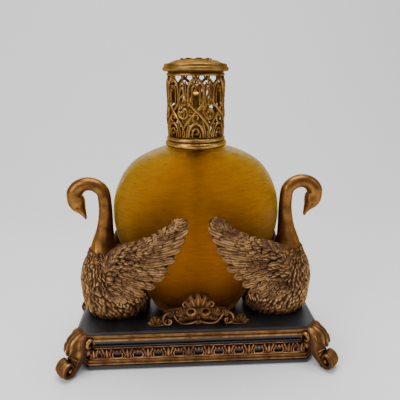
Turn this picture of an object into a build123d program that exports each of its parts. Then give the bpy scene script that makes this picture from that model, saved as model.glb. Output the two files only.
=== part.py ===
"""Catalytic fragrance lamp: an amber flask between two swans on a footed plinth.

Millimetres, +Z up, front of the lamp towards -Y, origin on the table under the middle of the plinth.
"""
import os
from math import cos, pi, radians, sin, sqrt

from build123d import *

os.makedirs("parts", exist_ok=True)

# ---------------------------------------------------------------- driving dimensions
PLINTH_WIDTH = 170.0          # top plate along X
PLINTH_DEPTH = 64.0           # top plate along Y
CANT = 8.0                    # cut corner that carries a foot
CORE_INSET = 5.0              # how far the core lies inside the top plate's outline

BOARD_BOTTOM = 1.2            # levels of the plinth's layers, from the table up
BOARD_TOP = 3.6
LOWER_MOULDING_TOP = 7.8
FRIEZE_TOP = 17.6
COVE_TOP = 22.8
UPPER_MOULDING_TOP = 28.2
PLATE_TOP = 29.5

ROUNDING = 0.46               # radius of a half-round moulding, as a share of its height
BOARD_PROUD = 2.2             # how far each layer stands out of the top plate's outline
LOWER_PROUD = 2.0
FRIEZE_PROUD = 0.6
COVE_PROUD = -1.6
UPPER_PROUD = 1.6
COVE_LEDGE = 1.2              # height and reach of the step at the cove's foot
BOARD_BEVEL = 0.5
PLATE_BEVEL = 0.8

RECESS_PITCH = 14.3           # frieze compartments
RECESS_WIDTH = 7.4
RECESS_HEIGHT = 4.6
RECESS_DEPTH = 1.4
RECESS_DROP = 1.6             # below the middle of the strip
RECESS_CORNER_R = 0.9
LEAF_HOLLOW = (2.6, 1.3)      # half width and half height
LEAF_HOLLOW_DEPTH = 0.5
LEAF_HOLLOW_RISE = 2.6        # above the middle of the strip
FRONT_RECESSES = 11
SIDE_RECESSES = 3

FOOT_WIDTH = 11.0
FOOT_BACK = 2.4               # back of a foot, measured outwards from the cut corner
FELT_THICKNESS, FELT_R = 0.8, 3.4
FELT_DISTANCE = 12.7          # middle of a felt, measured outwards from the cut corner

NECK_TUBE_R = 4.6             # swan's neck at the top of its hook
HOOK_X, HOOK_Z, HOOK_R = 74.6, 117.0, 10.6

WALL = 3.0                    # glass
FLASK_CLEARANCE = 0.8         # between the flask and whatever it is lifted past
FLASK_SECTIONS = [            # height, half width, half depth
    (30.4, 29.6, 16.4),
    (32.0, 31.6, 17.8),
    (40.0, 35.8, 20.0),
    (55.0, 43.4, 22.6),
    (70.0, 50.2, 24.5),
    (85.0, 55.4, 25.7),
    (98.0, 58.0, 26.2),
    (108.0, 58.3, 26.3),
    (118.0, 57.0, 26.2),
    (128.0, 53.6, 25.7),
    (137.0, 48.4, 24.9),
    (144.0, 41.6, 23.8),
    (149.4, 31.8, 22.2),
    (152.4, 23.4, 20.4),
    (153.5, 18.0, 18.0),
]
SHOULDER_Z = 153.5
NECK_TOP = 160.0
NECK_R, NECK_BORE = 11.0, 7.9

COLLAR_R, COLLAR_FLANGE_R = 13.2, 16.4
COLLAR_TOP = 160.8
COLLAR_GAP = 0.1              # cement between the collar and the glass
COLLAR_LIP_R = 8.1            # the collar's lip turns in over the neck's rim
COLLAR_FLANGE_THICKNESS = 1.2
FLANGE_TOP = 162.6
FLANGE_R = 12.2
PLUG_R, PLUG_BOTTOM = 7.5, 148.0
GASKET_THICKNESS = 0.6
STONE_R, STONE_BOTTOM, STONE_TOP = 5.2, 150.0, 172.0
SOCKET_BOTTOM = 156.0         # end of the hole in the stone that the wick goes into
CATALYST_R, CATALYST_SINK, CATALYST_PROUD = 2.0, 4.0, 0.2
SLEEVE_R, SLEEVE_BOTTOM, SLEEVE_SHOULDER, SLEEVE_TOP = 3.4, 138.0, 147.0, 149.8
WICK_R, WICK_FOOT = 2.4, 38.0
WICK_GAP = 0.1                # round the wick

CUP_R, CUP_WALL, CUP_TOP = 9.0, 1.4, 175.0
CUP_RIM_R, CUP_BOTTOM = 9.5, FLANGE_TOP + 0.1
CUP_ROOF = 1.6
SEAL_THICKNESS = 0.8
POST_TOP = 194.0
POST_PROFILE = [              # radius, height: bell, waist and knob of the snuffer's grip
    (9.0, 175.0),
    (8.8, 180.0),
    (7.8, 185.0),
    (5.6, 188.2),
    (3.2, 189.4),
    (3.2, 190.0),
]

CROWN_BOTTOM = 153.9
CROWN_RING_R, CROWN_RING_TOP = 20.6, 160.8
FILIGREE_R, FILIGREE_WALL = 18.7, 1.3
FILIGREE_TOP = 198.4
LID_RING_R, LID_RING_WALL, LID_RING_TOP = 18.8, 2.4, 201.2
LID_R, LID_TOP, LID_THICKNESS = 21.3, 208.6, 1.4
LID_OPENING_R = 9.0
ROSETTE_TOP, ROSETTE_WALL = 209.2, 2.0
SCALLOPS, SCALLOP_R = 10, 1.2

SEAT_DEPTH = 0.5              # recess in the plate for the flask's felt pad
SEAT_MARGIN = 0.9             # how far the recess runs past the flask's second section
PAD_THICKNESS, PAD_MARGIN = 1.2, 0.4

RUNNING_GAP = 0.05            # radial gap of a pin in its hole
SIDES = {"left": -1, "right": 1}
FACES = {"front": -1, "back": 1}


def save(part, name):
    """Label a finished piece and write it to its own file."""
    part.label = name
    export_step(part, f"parts/{name}.step")


def canted_outline(proud):
    """The plinth's plan with cut corners, pushed out by `proud` on every side."""
    with BuildSketch(mode=Mode.PRIVATE) as plan:
        Rectangle(PLINTH_WIDTH + 2 * proud, PLINTH_DEPTH + 2 * proud)
        chamfer(plan.vertices(), CANT + proud * (2 - sqrt(2)))
    return plan.sketch


def bore(x, y, bottom, top, radius):
    """Cut a vertical hole in the part being built."""
    with BuildSketch(Plane.XY.offset(bottom)) as hole:
        with Locations((x, y)):
            Circle(radius)
    extrude(hole.sketch, amount=top - bottom, mode=Mode.SUBTRACT)


# ---------------------------------------------------------------- plinth
SWAN_SCREWS = [(sx * 62.0, sy * 9.0) for sx in (-1, 1) for sy in (-1, 1)]
BASE_SCREWS = [(sx * 34.0, sy * 20.0) for sx in (-1, 1) for sy in (-1, 1)]
CARTOUCHE_PINS = [(-20.6, -25.2), (20.6, -25.2)]
SCREW_R, SCREW_HEAD_R, SCREW_HEAD_H = 1.9, 3.8, 1.8
SCREW_SLOT_WIDTH, SCREW_SLOT_LENGTH = 0.9, 5.0
COUNTERBORE_GAP = 0.2         # round and above a screw's head
HOLE_OVERRUN = 0.5            # how far a blind hole runs past the end of its screw
SWAN_SCREW_TOP = 44.0
BASE_SCREW_TOP = 26.0
PIN_R = 1.0
PIN_DEPTH = 5.0               # hole in the plate
PIN_RISE = 4.0                # hole in the cartouche
PIN_END_GAP = 0.2


def screw_holes(bottom, top):
    """Clearance holes for every vertical screw that passes between two levels."""
    for x, y in SWAN_SCREWS:
        bore(x, y, bottom, min(top, SWAN_SCREW_TOP + HOLE_OVERRUN), SCREW_R + RUNNING_GAP)
    for x, y in BASE_SCREWS:
        if bottom < BASE_SCREW_TOP:
            bore(x, y, bottom, min(top, BASE_SCREW_TOP + HOLE_OVERRUN), SCREW_R + RUNNING_GAP)


def make_bottom_board():
    with BuildPart() as bottom_board:
        with BuildSketch(Plane.XY.offset(BOARD_BOTTOM)):
            add(canted_outline(BOARD_PROUD))
        extrude(amount=BOARD_TOP - BOARD_BOTTOM)
        chamfer(bottom_board.edges().group_by(Axis.Z)[-1], BOARD_BEVEL)
        screw_holes(BOARD_BOTTOM, BOARD_TOP)
        for x, y in SWAN_SCREWS + BASE_SCREWS:
            bore(x, y, BOARD_BOTTOM, BOARD_BOTTOM + SCREW_HEAD_H, SCREW_HEAD_R + COUNTERBORE_GAP)
    save(bottom_board.part, "bottom_board")


def make_plinth_core():
    with BuildPart() as plinth_core:
        with BuildSketch(Plane.XY.offset(BOARD_TOP)):
            add(canted_outline(-CORE_INSET))
        extrude(amount=COVE_TOP - BOARD_TOP)
        screw_holes(BOARD_TOP, COVE_TOP)
        cut_foot_pin_holes()
    save(plinth_core.part, "plinth_core")


def make_top_plate():
    """Black plate with a bevelled lip, a step that fits inside the upper moulding and a flask seat."""
    seat_half_width = FLASK_SECTIONS[1][1] + SEAT_MARGIN
    seat_half_depth = FLASK_SECTIONS[1][2] + SEAT_MARGIN
    with BuildPart() as top_plate:
        with BuildSketch(Plane.XY.offset(COVE_TOP)):
            add(canted_outline(-CORE_INSET))
        extrude(amount=UPPER_MOULDING_TOP - COVE_TOP)
        with BuildSketch(Plane.XY.offset(UPPER_MOULDING_TOP)):
            add(canted_outline(0))
        extrude(amount=PLATE_TOP - UPPER_MOULDING_TOP)
        chamfer(top_plate.edges().group_by(Axis.Z)[-1], PLATE_BEVEL)
        with BuildSketch(Plane.XY.offset(PLATE_TOP - SEAT_DEPTH)):
            Ellipse(seat_half_width, seat_half_depth)
        extrude(amount=SEAT_DEPTH, mode=Mode.SUBTRACT)
        screw_holes(COVE_TOP, PLATE_TOP)
        for x, y in CARTOUCHE_PINS:
            bore(x, y, PLATE_TOP - PIN_DEPTH, PLATE_TOP, PIN_R + RUNNING_GAP)
    save(top_plate.part, "top_plate")


def make_bottle_pad():
    """Thin felt pad that the flask stands on, in the plate's seat."""
    with BuildPart() as bottle_pad:
        with BuildSketch(Plane.XY.offset(PLATE_TOP - SEAT_DEPTH)):
            Ellipse(FLASK_SECTIONS[0][1] + PAD_MARGIN, FLASK_SECTIONS[0][2] + PAD_MARGIN)
        extrude(amount=PAD_THICKNESS)
    save(bottle_pad.part, "bottle_pad")


def moulding(proud, bottom, top):
    """Half-round moulding: a frame round the core whose outer edges are rounded."""
    height = top - bottom
    with BuildPart() as frame:
        with BuildSketch(Plane.XY.offset(bottom)):
            add(canted_outline(proud))
            add(canted_outline(-CORE_INSET), mode=Mode.SUBTRACT)
        extrude(amount=height)
        outer = [e for e in frame.edges() if is_rim(e, bottom, top) and lies_outside(e, proud)]
        fillet(outer, height * ROUNDING)
    return frame.part


def is_rim(edge, bottom, top):
    """True for a horizontal edge on the top or bottom of a moulding."""
    z = edge.center().Z
    return min(abs(z - bottom), abs(z - top)) < 1e-4


def lies_outside(edge, proud):
    """True for an edge on the outer face of a frame that stands out by `proud`."""
    centre = edge.center()
    beyond_x = abs(centre.X) > PLINTH_WIDTH / 2 + proud - 1e-3
    beyond_y = abs(centre.Y) > PLINTH_DEPTH / 2 + proud - 1e-3
    corner = PLINTH_WIDTH / 2 + PLINTH_DEPTH / 2 - CANT + sqrt(2) * proud
    beyond_cant = abs(centre.X) + abs(centre.Y) > corner - 1e-3
    return beyond_x or beyond_y or beyond_cant


def make_mouldings():
    save(moulding(LOWER_PROUD, BOARD_TOP, LOWER_MOULDING_TOP), "lower_moulding")
    save(moulding(UPPER_PROUD, COVE_TOP, UPPER_MOULDING_TOP), "upper_moulding")


def make_cove_band():
    """Black hollow moulding between the frieze and the upper moulding."""
    with BuildPart() as cove_band:
        with BuildSketch(Plane.XY.offset(FRIEZE_TOP)):
            add(canted_outline(COVE_PROUD + COVE_LEDGE))
            add(canted_outline(-CORE_INSET), mode=Mode.SUBTRACT)
        extrude(amount=COVE_LEDGE)
        with BuildSketch(Plane.XY.offset(FRIEZE_TOP + COVE_LEDGE)):
            add(canted_outline(COVE_PROUD))
            add(canted_outline(-CORE_INSET), mode=Mode.SUBTRACT)
        extrude(amount=COVE_TOP - FRIEZE_TOP - COVE_LEDGE)
        cut_foot_pin_holes()
    save(cove_band.part, "cove_band")


def frieze_panel(length, outward, distance, count):
    """A gilt relief strip with sunk compartments and shallow leaf hollows above and between them."""
    height = FRIEZE_TOP - LOWER_MOULDING_TOP
    face = Plane(
        origin=outward * distance + Vector(0, 0, LOWER_MOULDING_TOP + height / 2),
        x_dir=Vector(-outward.Y, outward.X, 0),
        z_dir=outward,
    )
    first = -(count - 1) / 2 * RECESS_PITCH
    with BuildPart() as panel:
        with BuildSketch(face):
            Rectangle(length, height)
        extrude(amount=-CORE_INSET - FRIEZE_PROUD)
        with BuildSketch(face):
            with Locations([(first + i * RECESS_PITCH, -RECESS_DROP) for i in range(count)]):
                RectangleRounded(RECESS_WIDTH, RECESS_HEIGHT, RECESS_CORNER_R)
        extrude(amount=-RECESS_DEPTH, mode=Mode.SUBTRACT)
        with BuildSketch(face):
            with Locations([(first + (i + 0.5) * RECESS_PITCH, LEAF_HOLLOW_RISE) for i in range(count - 1)]):
                Ellipse(*LEAF_HOLLOW)
        extrude(amount=-LEAF_HOLLOW_DEPTH, mode=Mode.SUBTRACT)
    return panel.part


def make_friezes():
    front_length = PLINTH_WIDTH - 2 * CANT
    side_length = PLINTH_DEPTH - 2 * CANT
    panels = {
        "frieze_front": (front_length, Vector(0, -1, 0), PLINTH_DEPTH / 2, FRONT_RECESSES),
        "frieze_back": (front_length, Vector(0, 1, 0), PLINTH_DEPTH / 2, FRONT_RECESSES),
        "frieze_left": (side_length, Vector(-1, 0, 0), PLINTH_WIDTH / 2, SIDE_RECESSES),
        "frieze_right": (side_length, Vector(1, 0, 0), PLINTH_WIDTH / 2, SIDE_RECESSES),
    }
    for name, (length, outward, half, count) in panels.items():
        save(frieze_panel(length, outward, half + FRIEZE_PROUD, count), name)


# ---------------------------------------------------------------- feet
CORNER_X = PLINTH_WIDTH / 2 - CANT / 2
CORNER_Y = PLINTH_DEPTH / 2 - CANT / 2
FOOT_PIN_Z = 20.2
FOOT_PIN_R = 1.5
FOOT_PIN_IN, FOOT_PIN_OUT = -9.0, 8.0     # along the diagonal, from the cut corner
FOOT_PIN_END_GAP = 0.3
CORNERS = {
    "front_left": (-1, -1),
    "front_right": (1, -1),
    "back_left": (-1, 1),
    "back_right": (1, 1),
}


def diagonal_plane(sx, sy):
    """Upright plane through a corner: x runs outwards along the diagonal, y is up."""
    outward = Vector(sx, sy, 0).normalized()
    return Plane(origin=(sx * CORNER_X, sy * CORNER_Y, 0), x_dir=outward,
                 z_dir=outward.cross(Vector(0, 0, 1)))


def diagonal_axis_plane(sx, sy, distance):
    """Plane square to a corner's diagonal, at the height of the foot's pin."""
    outward = Vector(sx, sy, 0).normalized()
    centre = Vector(sx * CORNER_X, sy * CORNER_Y, FOOT_PIN_Z) + outward * distance
    return Plane(origin=centre, x_dir=outward.cross(Vector(0, 0, 1)), z_dir=outward)


def cut_foot_pin_holes():
    """Drill the part being built for all four foot pins."""
    for sx, sy in CORNERS.values():
        with BuildSketch(diagonal_axis_plane(sx, sy, FOOT_PIN_IN - FOOT_PIN_END_GAP)) as hole:
            Circle(FOOT_PIN_R + RUNNING_GAP)
        extrude(hole.sketch, amount=FOOT_PIN_OUT - FOOT_PIN_IN + 2 * FOOT_PIN_END_GAP, mode=Mode.SUBTRACT)


def foot(sx, sy):
    """Scrolled acanthus foot: leaf top, swelling knee, waist and a volute on the table."""
    with BuildPart() as leg:
        with BuildSketch(diagonal_plane(sx, sy)):
            with BuildLine():
                Spline((FOOT_BACK, 31.5), (6.4, 30.2), (11.6, 25.2), (12.6, 20.5), (10.6, 15.2),
                       (11.6, 12.6), (15.5, 13.2))
                Spline((15.5, 13.2), (19.8, 10.6), (20.8, 6.8), (18.6, 2.4), (14.2, FELT_THICKNESS),
                       tangents=((1, 0), (-1, 0)))
                Line((14.2, FELT_THICKNESS), (11.2, FELT_THICKNESS))
                Spline((11.2, FELT_THICKNESS), (6.6, 4.0), (FOOT_BACK, 12.0),
                       tangents=((-1, 0), (-0.3, 1)))
                Line((FOOT_BACK, 12.0), (FOOT_BACK, 31.5))
            make_face()
        extrude(amount=FOOT_WIDTH / 2, both=True)
        with BuildSketch(diagonal_axis_plane(sx, sy, FOOT_BACK - 1)):
            Circle(FOOT_PIN_R + RUNNING_GAP)
        extrude(amount=FOOT_PIN_OUT - FOOT_BACK + 1 + FOOT_PIN_END_GAP, mode=Mode.SUBTRACT)
    return leg.part


def make_feet():
    for name, (sx, sy) in CORNERS.items():
        save(foot(sx, sy), f"foot_{name}")
    with BuildPart() as foot_pins:
        for sx, sy in CORNERS.values():
            with BuildSketch(diagonal_axis_plane(sx, sy, FOOT_PIN_IN)):
                Circle(FOOT_PIN_R)
            extrude(amount=FOOT_PIN_OUT - FOOT_PIN_IN)
    save(foot_pins.part, "foot_pins")
    with BuildPart() as foot_felts:
        with BuildSketch():
            for sx, sy in CORNERS.values():
                outward = Vector(sx, sy, 0).normalized()
                centre = Vector(sx * CORNER_X, sy * CORNER_Y, 0) + outward * FELT_DISTANCE
                with Locations((centre.X, centre.Y)):
                    Circle(FELT_R)
        extrude(amount=FELT_THICKNESS)
    save(foot_felts.part, "foot_felts")


# ---------------------------------------------------------------- screws and pins
def make_screws():
    groups = {
        "swan_screws": (SWAN_SCREWS, SWAN_SCREW_TOP),
        "base_screws": (BASE_SCREWS, BASE_SCREW_TOP),
    }
    for name, (places, top) in groups.items():
        with BuildPart() as screws:
            for x, y in places:
                with BuildSketch(Plane.XY.offset(BOARD_BOTTOM + COUNTERBORE_GAP / 2)):
                    with Locations((x, y)):
                        Circle(SCREW_HEAD_R)
                        Rectangle(SCREW_SLOT_WIDTH, SCREW_SLOT_LENGTH, mode=Mode.SUBTRACT)
                extrude(amount=SCREW_HEAD_H - COUNTERBORE_GAP)
                with BuildSketch(Plane.XY.offset(BOARD_BOTTOM + SCREW_HEAD_H / 2)):
                    with Locations((x, y)):
                        Circle(SCREW_R)
                extrude(amount=top - BOARD_BOTTOM - SCREW_HEAD_H / 2)
        save(screws.part, name)


def make_cartouche_pins():
    with BuildPart() as cartouche_pins:
        with BuildSketch(Plane.XY.offset(PLATE_TOP - PIN_DEPTH + PIN_END_GAP)):
            with Locations(CARTOUCHE_PINS):
                Circle(PIN_R)
        extrude(amount=PIN_DEPTH + PIN_RISE - 2 * PIN_END_GAP)
    save(cartouche_pins.part, "cartouche_pins")


# ---------------------------------------------------------------- flask
FLASK_MIDDLE_Z = (FLASK_SECTIONS[0][0] + SHOULDER_Z) / 2
FLASK_HALF_HEIGHT = (SHOULDER_Z - FLASK_SECTIONS[0][0]) / 2
BORE_OVERRUN = 6.0            # how far the neck's bore is cut below the shoulder


def flask_solid(grow):
    """The flask's outer shape, or with a negative `grow` the space inside its wall."""
    with BuildPart() as body:
        for z, half_width, half_depth in FLASK_SECTIONS:
            level = z
            if grow < 0:
                level = FLASK_MIDDLE_Z + (z - FLASK_MIDDLE_Z) * (1 + grow / FLASK_HALF_HEIGHT)
            with BuildSketch(Plane.XY.offset(level)):
                Ellipse(half_width + grow, half_depth + grow)
        loft()
    return body.part


def make_glass_bottle():
    outer = flask_solid(0)
    inner = flask_solid(-WALL)
    with BuildPart() as glass_bottle:
        add(outer)
        with BuildSketch(Plane.XY.offset(SHOULDER_Z - 1)):
            Circle(NECK_R)
        extrude(amount=NECK_TOP - SHOULDER_Z + 1)
        add(inner, mode=Mode.SUBTRACT)
        bore(0, 0, SHOULDER_Z - BORE_OVERRUN, NECK_TOP + 1, NECK_BORE)
    save(glass_bottle.part, "glass_bottle")


def make_neck_collar():
    """Spun brass collar cemented over the glass neck; its flange carries the crown."""
    inner, bottom = NECK_R + COLLAR_GAP, SHOULDER_Z + COLLAR_GAP
    flange_top = bottom + COLLAR_FLANGE_THICKNESS
    with BuildPart() as neck_collar:
        with BuildSketch(Plane.XZ):
            with BuildLine():
                Polyline((inner, bottom), (COLLAR_FLANGE_R, bottom), (COLLAR_FLANGE_R, flange_top),
                         (COLLAR_R, flange_top + 0.6), (COLLAR_R, COLLAR_TOP), (COLLAR_LIP_R, COLLAR_TOP),
                         (COLLAR_LIP_R, NECK_TOP + COLLAR_GAP), (inner, NECK_TOP + COLLAR_GAP), close=True)
            make_face()
        revolve(axis=Axis.Z)
    save(neck_collar.part, "neck_collar")


# ---------------------------------------------------------------- swans and wings
BODY_SECTIONS = [             # height, centre from the middle, half length, half depth
    (PLATE_TOP, 59.0, 18.6, 14.0),
    (33.0, 59.0, 22.2, 18.4),
    (39.0, 59.2, 24.2, 21.8),
    (48.0, 59.6, 24.6, 23.2),
    (59.0, 62.0, 22.2, 22.4),
    (68.0, 65.0, 16.9, 18.0),
    (76.0, 66.8, 11.6, 12.2),
    (84.0, 67.2, 8.2, 8.4),
    (94.0, 65.5, 6.0, 6.1),
    (104.0, 64.3, 5.0, 5.0),
]
HEAD_SECTIONS = [             # centre, direction, half width, half depth: nape to the beak's tip
    ((84.1, 117.8), (0.0, -1.0), 5.9, 5.1),
    ((83.5, 114.0), (-0.2, -1.0), 5.9, 5.1),
    ((82.3, 110.9), (-0.4, -0.92), 4.9, 4.5),
    ((80.6, 108.2), (-0.5, -0.87), 3.2, 3.2),
    ((79.4, 105.4), (-0.4, -0.92), 1.9, 2.1),
    ((78.5, 101.8), (-0.25, -0.97), 0.8, 1.0),
]


def swan_stations(side):
    """Every section of a swan from the plate to the beak: plane, half depth, half length."""
    stations = []
    for z, x, half_length, half_depth in BODY_SECTIONS:
        stations.append(((side * x, z), (0.0, 1.0), half_depth, half_length))
    for turn in range(0, 151, 30):
        a = radians(turn)
        centre = (side * (HOOK_X - HOOK_R * cos(a)), HOOK_Z + HOOK_R * sin(a))
        radius = NECK_TUBE_R + (0.6 if turn > 120 else 0.0)
        stations.append((centre, (side * sin(a), cos(a)), radius, radius))
    for (x, z), (dx, dz), half_width, half_depth in HEAD_SECTIONS:
        stations.append(((side * x, z), (side * dx, dz), half_depth, half_width))
    return stations


def swan_form(side):
    """One smooth solid: breast, neck, hook, head and beak."""
    with BuildPart() as form:
        for (x, z), (dx, dz), half_depth, half_length in swan_stations(side):
            with BuildSketch(Plane(origin=(x, 0, z), x_dir=(0, 1, 0), z_dir=(dx, 0, dz))):
                Ellipse(half_depth, half_length)
        loft()
    return form.part


def swan(side):
    """A swan with the flask's path cut clear and blind holes for its screws."""
    with BuildPart() as bird:
        add(swan_form(side))
        add(flask_solid(FLASK_CLEARANCE), mode=Mode.SUBTRACT)
        screw_holes(PLATE_TOP, SWAN_SCREW_TOP + 1)
    return bird.part


WING_SHOULDER = (63.5, 74.0)
WING_TIP = (11.0, 114.4)
WING_TOP_EDGE = [WING_SHOULDER, (61.0, 85.0), (55.5, 92.5), (48.0, 96.4), (38.0, 98.6), (28.5, 102.6),
                 (19.0, 109.0), WING_TIP]
WING_TRAILING_EDGE = [WING_TIP, (6.4, 109.0), (7.0, 100.0), (12.4, 86.6), (20.0, 73.4), (29.4, 62.4),
                      (41.0, 53.6), (52.0, 49.4), (60.6, 53.0), (64.4, 63.0), WING_SHOULDER]
WING_INNER = [(66.0, 17.5), (36.0, 25.8), (5.0, 27.4)]     # plan of the inner face
WING_OUTER = [(5.0, 31.2), (36.0, 30.4), (66.0, 25.6)]     # plan of the outer face
WING_BAND_BOTTOM, WING_BAND_TOP = 44.0, 118.0


def wing(side, face):
    """A raised wing: a shallow curved slab that follows the flask's face."""
    with BuildPart() as slab:
        with BuildSketch(Plane.XY.offset(WING_BAND_BOTTOM)):
            with BuildLine():
                inner = [(side * x, face * y) for x, y in WING_INNER]
                outer = [(side * x, face * y) for x, y in WING_OUTER]
                ThreePointArc(*inner)
                Line(inner[-1], outer[0])
                ThreePointArc(*outer)
                Line(outer[-1], inner[0])
            make_face()
        extrude(amount=WING_BAND_TOP - WING_BAND_BOTTOM)
        with BuildSketch(Plane.XZ):
            with BuildLine():
                top = [(side * x, z) for x, z in WING_TOP_EDGE]
                trailing = [(side * x, z) for x, z in WING_TRAILING_EDGE]
                Spline(*top)
                Spline(*trailing)
            make_face()
        extrude(amount=-face * PLINTH_DEPTH, mode=Mode.INTERSECT)
        add(swan_form(side), mode=Mode.SUBTRACT)
    return max(slab.part.solids(), key=lambda solid: solid.volume)


def make_swans():
    for side_name, side in SIDES.items():
        save(swan(side), f"swan_{side_name}")
        for face_name, face in FACES.items():
            piece = Part(wing(side, face).wrapped)
            save(piece, f"wing_{side_name}_{face_name}")


# ---------------------------------------------------------------- cartouche
CARTOUCHE_FACE_Y = -26.9
CARTOUCHE_THICKNESS = 3.4
EYE_X, EYE_Z, EYE_R = 5.2, 41.4, 1.8
CARTOUCHE_DISCS = [           # distance from the middle, height, half width, half height
    (4.6, 49.4, 3.6, 4.8),    # outer lobes of the shell
    (EYE_X, EYE_Z, 5.4, 5.4), # rings round the eyes
    (13.6, 39.2, 8.4, 5.4),   # leaf beside each ring
    (20.6, 35.0, 5.5, 5.5),   # volute that stands on the plate
    (27.0, 32.4, 5.4, 2.4),   # link to the end leaf
    (31.0, 34.4, 3.6, 4.4),   # end leaf
]


def make_cartouche():
    """Rocaille crest in front of the flask: a shell, two pierced eyes and scrolls to each side."""
    drop_half_height = (EYE_Z - PLATE_TOP) / 2
    with BuildPart() as cartouche:
        with BuildSketch(Plane(origin=(0, CARTOUCHE_FACE_Y, 0), x_dir=(1, 0, 0), z_dir=(0, -1, 0))):
            with Locations((0, 48.4)):
                Ellipse(3.6, 7.0)
            with Locations((0, PLATE_TOP + drop_half_height)):
                Ellipse(4.4, drop_half_height)
            for x, z, half_width, half_height in CARTOUCHE_DISCS:
                with Locations((-x, z), (x, z)):
                    Ellipse(half_width, half_height)
            with Locations((-EYE_X, EYE_Z), (EYE_X, EYE_Z)):
                Circle(EYE_R, mode=Mode.SUBTRACT)
        extrude(amount=-CARTOUCHE_THICKNESS)
        for x, y in CARTOUCHE_PINS:
            bore(x, y, PLATE_TOP - 1, PLATE_TOP + PIN_RISE, PIN_R + RUNNING_GAP)
    save(cartouche.part, "cartouche")


# ---------------------------------------------------------------- burner
def make_burner():
    """Brass burner that drops into the neck: flange, gasket, stone, catalyst, sleeve and wick."""
    seat, flange_bottom = STONE_R + RUNNING_GAP, COLLAR_TOP + GASKET_THICKNESS + 2 * RUNNING_GAP
    with BuildPart() as burner_mount:
        with BuildSketch(Plane.XZ):
            with BuildLine():
                Polyline((seat, PLUG_BOTTOM), (PLUG_R, PLUG_BOTTOM), (PLUG_R, flange_bottom),
                         (FLANGE_R, flange_bottom), (FLANGE_R, FLANGE_TOP - 0.5),
                         (FLANGE_R - 0.5, FLANGE_TOP), (seat, FLANGE_TOP), close=True)
            make_face()
        revolve(axis=Axis.Z)
    save(burner_mount.part, "burner_mount")

    with BuildPart() as burner_gasket:
        with BuildSketch(Plane.XY.offset(COLLAR_TOP + RUNNING_GAP)):
            Circle(FLANGE_R - 0.2)
            Circle(COLLAR_LIP_R, mode=Mode.SUBTRACT)
        extrude(amount=GASKET_THICKNESS)
    save(burner_gasket.part, "burner_gasket")

    with BuildPart() as burner_stone:
        with BuildSketch(Plane.XY.offset(STONE_BOTTOM)):
            Circle(STONE_R)
        extrude(amount=STONE_TOP - STONE_BOTTOM)
        fillet(burner_stone.edges().group_by(Axis.Z)[-1], 0.8)
        bore(0, 0, STONE_BOTTOM, SOCKET_BOTTOM, WICK_R + WICK_GAP)
        bore(0, 0, STONE_TOP - CATALYST_SINK, STONE_TOP, CATALYST_R + RUNNING_GAP)
    save(burner_stone.part, "burner_stone")

    with BuildPart() as catalyst_core:
        with BuildSketch(Plane.XY.offset(STONE_TOP - CATALYST_SINK)):
            Circle(CATALYST_R)
        extrude(amount=CATALYST_SINK + CATALYST_PROUD)
    save(catalyst_core.part, "catalyst_core")

    with BuildPart() as wick_sleeve:
        for radius, bottom in ((SLEEVE_R, SLEEVE_BOTTOM), (STONE_R - 0.2, SLEEVE_SHOULDER)):
            with BuildSketch(Plane.XY.offset(bottom)):
                Circle(radius)
                Circle(WICK_R + WICK_GAP, mode=Mode.SUBTRACT)
            extrude(amount=SLEEVE_TOP - bottom)
    save(wick_sleeve.part, "wick_sleeve")

    with BuildPart() as cotton_wick:
        with BuildSketch(Plane.XY.offset(WICK_FOOT)):
            Circle(WICK_R)
        extrude(amount=SOCKET_BOTTOM - 0.2 - WICK_FOOT)
        fillet(cotton_wick.edges().group_by(Axis.Z)[0], 0.8)
    save(cotton_wick.part, "cotton_wick")


# ---------------------------------------------------------------- snuffer
def make_snuffer():
    """Snuffer cap over the stone: a cup with a seal in its rim and a turned bell with a knob to lift it by."""
    rim, inner = CUP_BOTTOM + SEAL_THICKNESS, CUP_R - CUP_WALL
    with BuildPart() as snuffer_cap:
        with BuildSketch(Plane.XZ):
            with BuildLine():
                Polyline((inner, rim), (CUP_RIM_R, rim), (CUP_RIM_R, rim + 1.2), (CUP_R, rim + 1.8),
                         (CUP_R, CUP_TOP - 2.0), (CUP_R - 2.0, CUP_TOP), (0, CUP_TOP),
                         (0, CUP_TOP - CUP_ROOF), (inner, CUP_TOP - CUP_ROOF), close=True)
            make_face()
        revolve(axis=Axis.Z)
    save(snuffer_cap.part, "snuffer_cap")

    with BuildPart() as snuffer_seal:
        with BuildSketch(Plane.XY.offset(CUP_BOTTOM)):
            Circle(CUP_RIM_R - 0.3)
            Circle(STONE_R + 0.8, mode=Mode.SUBTRACT)
        extrude(amount=SEAL_THICKNESS)
    save(snuffer_seal.part, "snuffer_seal")

    with BuildPart() as snuffer_post:
        with BuildSketch(Plane.XZ):
            with BuildLine():
                Polyline((0, CUP_TOP), *POST_PROFILE)
                Spline(POST_PROFILE[-1], (4.3, POST_TOP - 2.2), (3.0, POST_TOP - 0.6),
                       (0, POST_TOP), tangents=((1, 0.4), (-1, 0)))
                Line((0, POST_TOP), (0, CUP_TOP))
            make_face()
        revolve(axis=Axis.Z)
    save(snuffer_post.part, "snuffer_post")


# ---------------------------------------------------------------- crown
CROWN_RING_BORE = 16.9
FILIGREE_ROWS = [             # middle height of a row, window height, window width, turn of the row
    (167.9, 10.0, 6.4, 0.0),
    (180.0, 9.8, 6.0, 0.5),
    (191.8, 9.6, 6.4, 0.0),
]
WINDOWS_PER_ROW = 12


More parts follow.
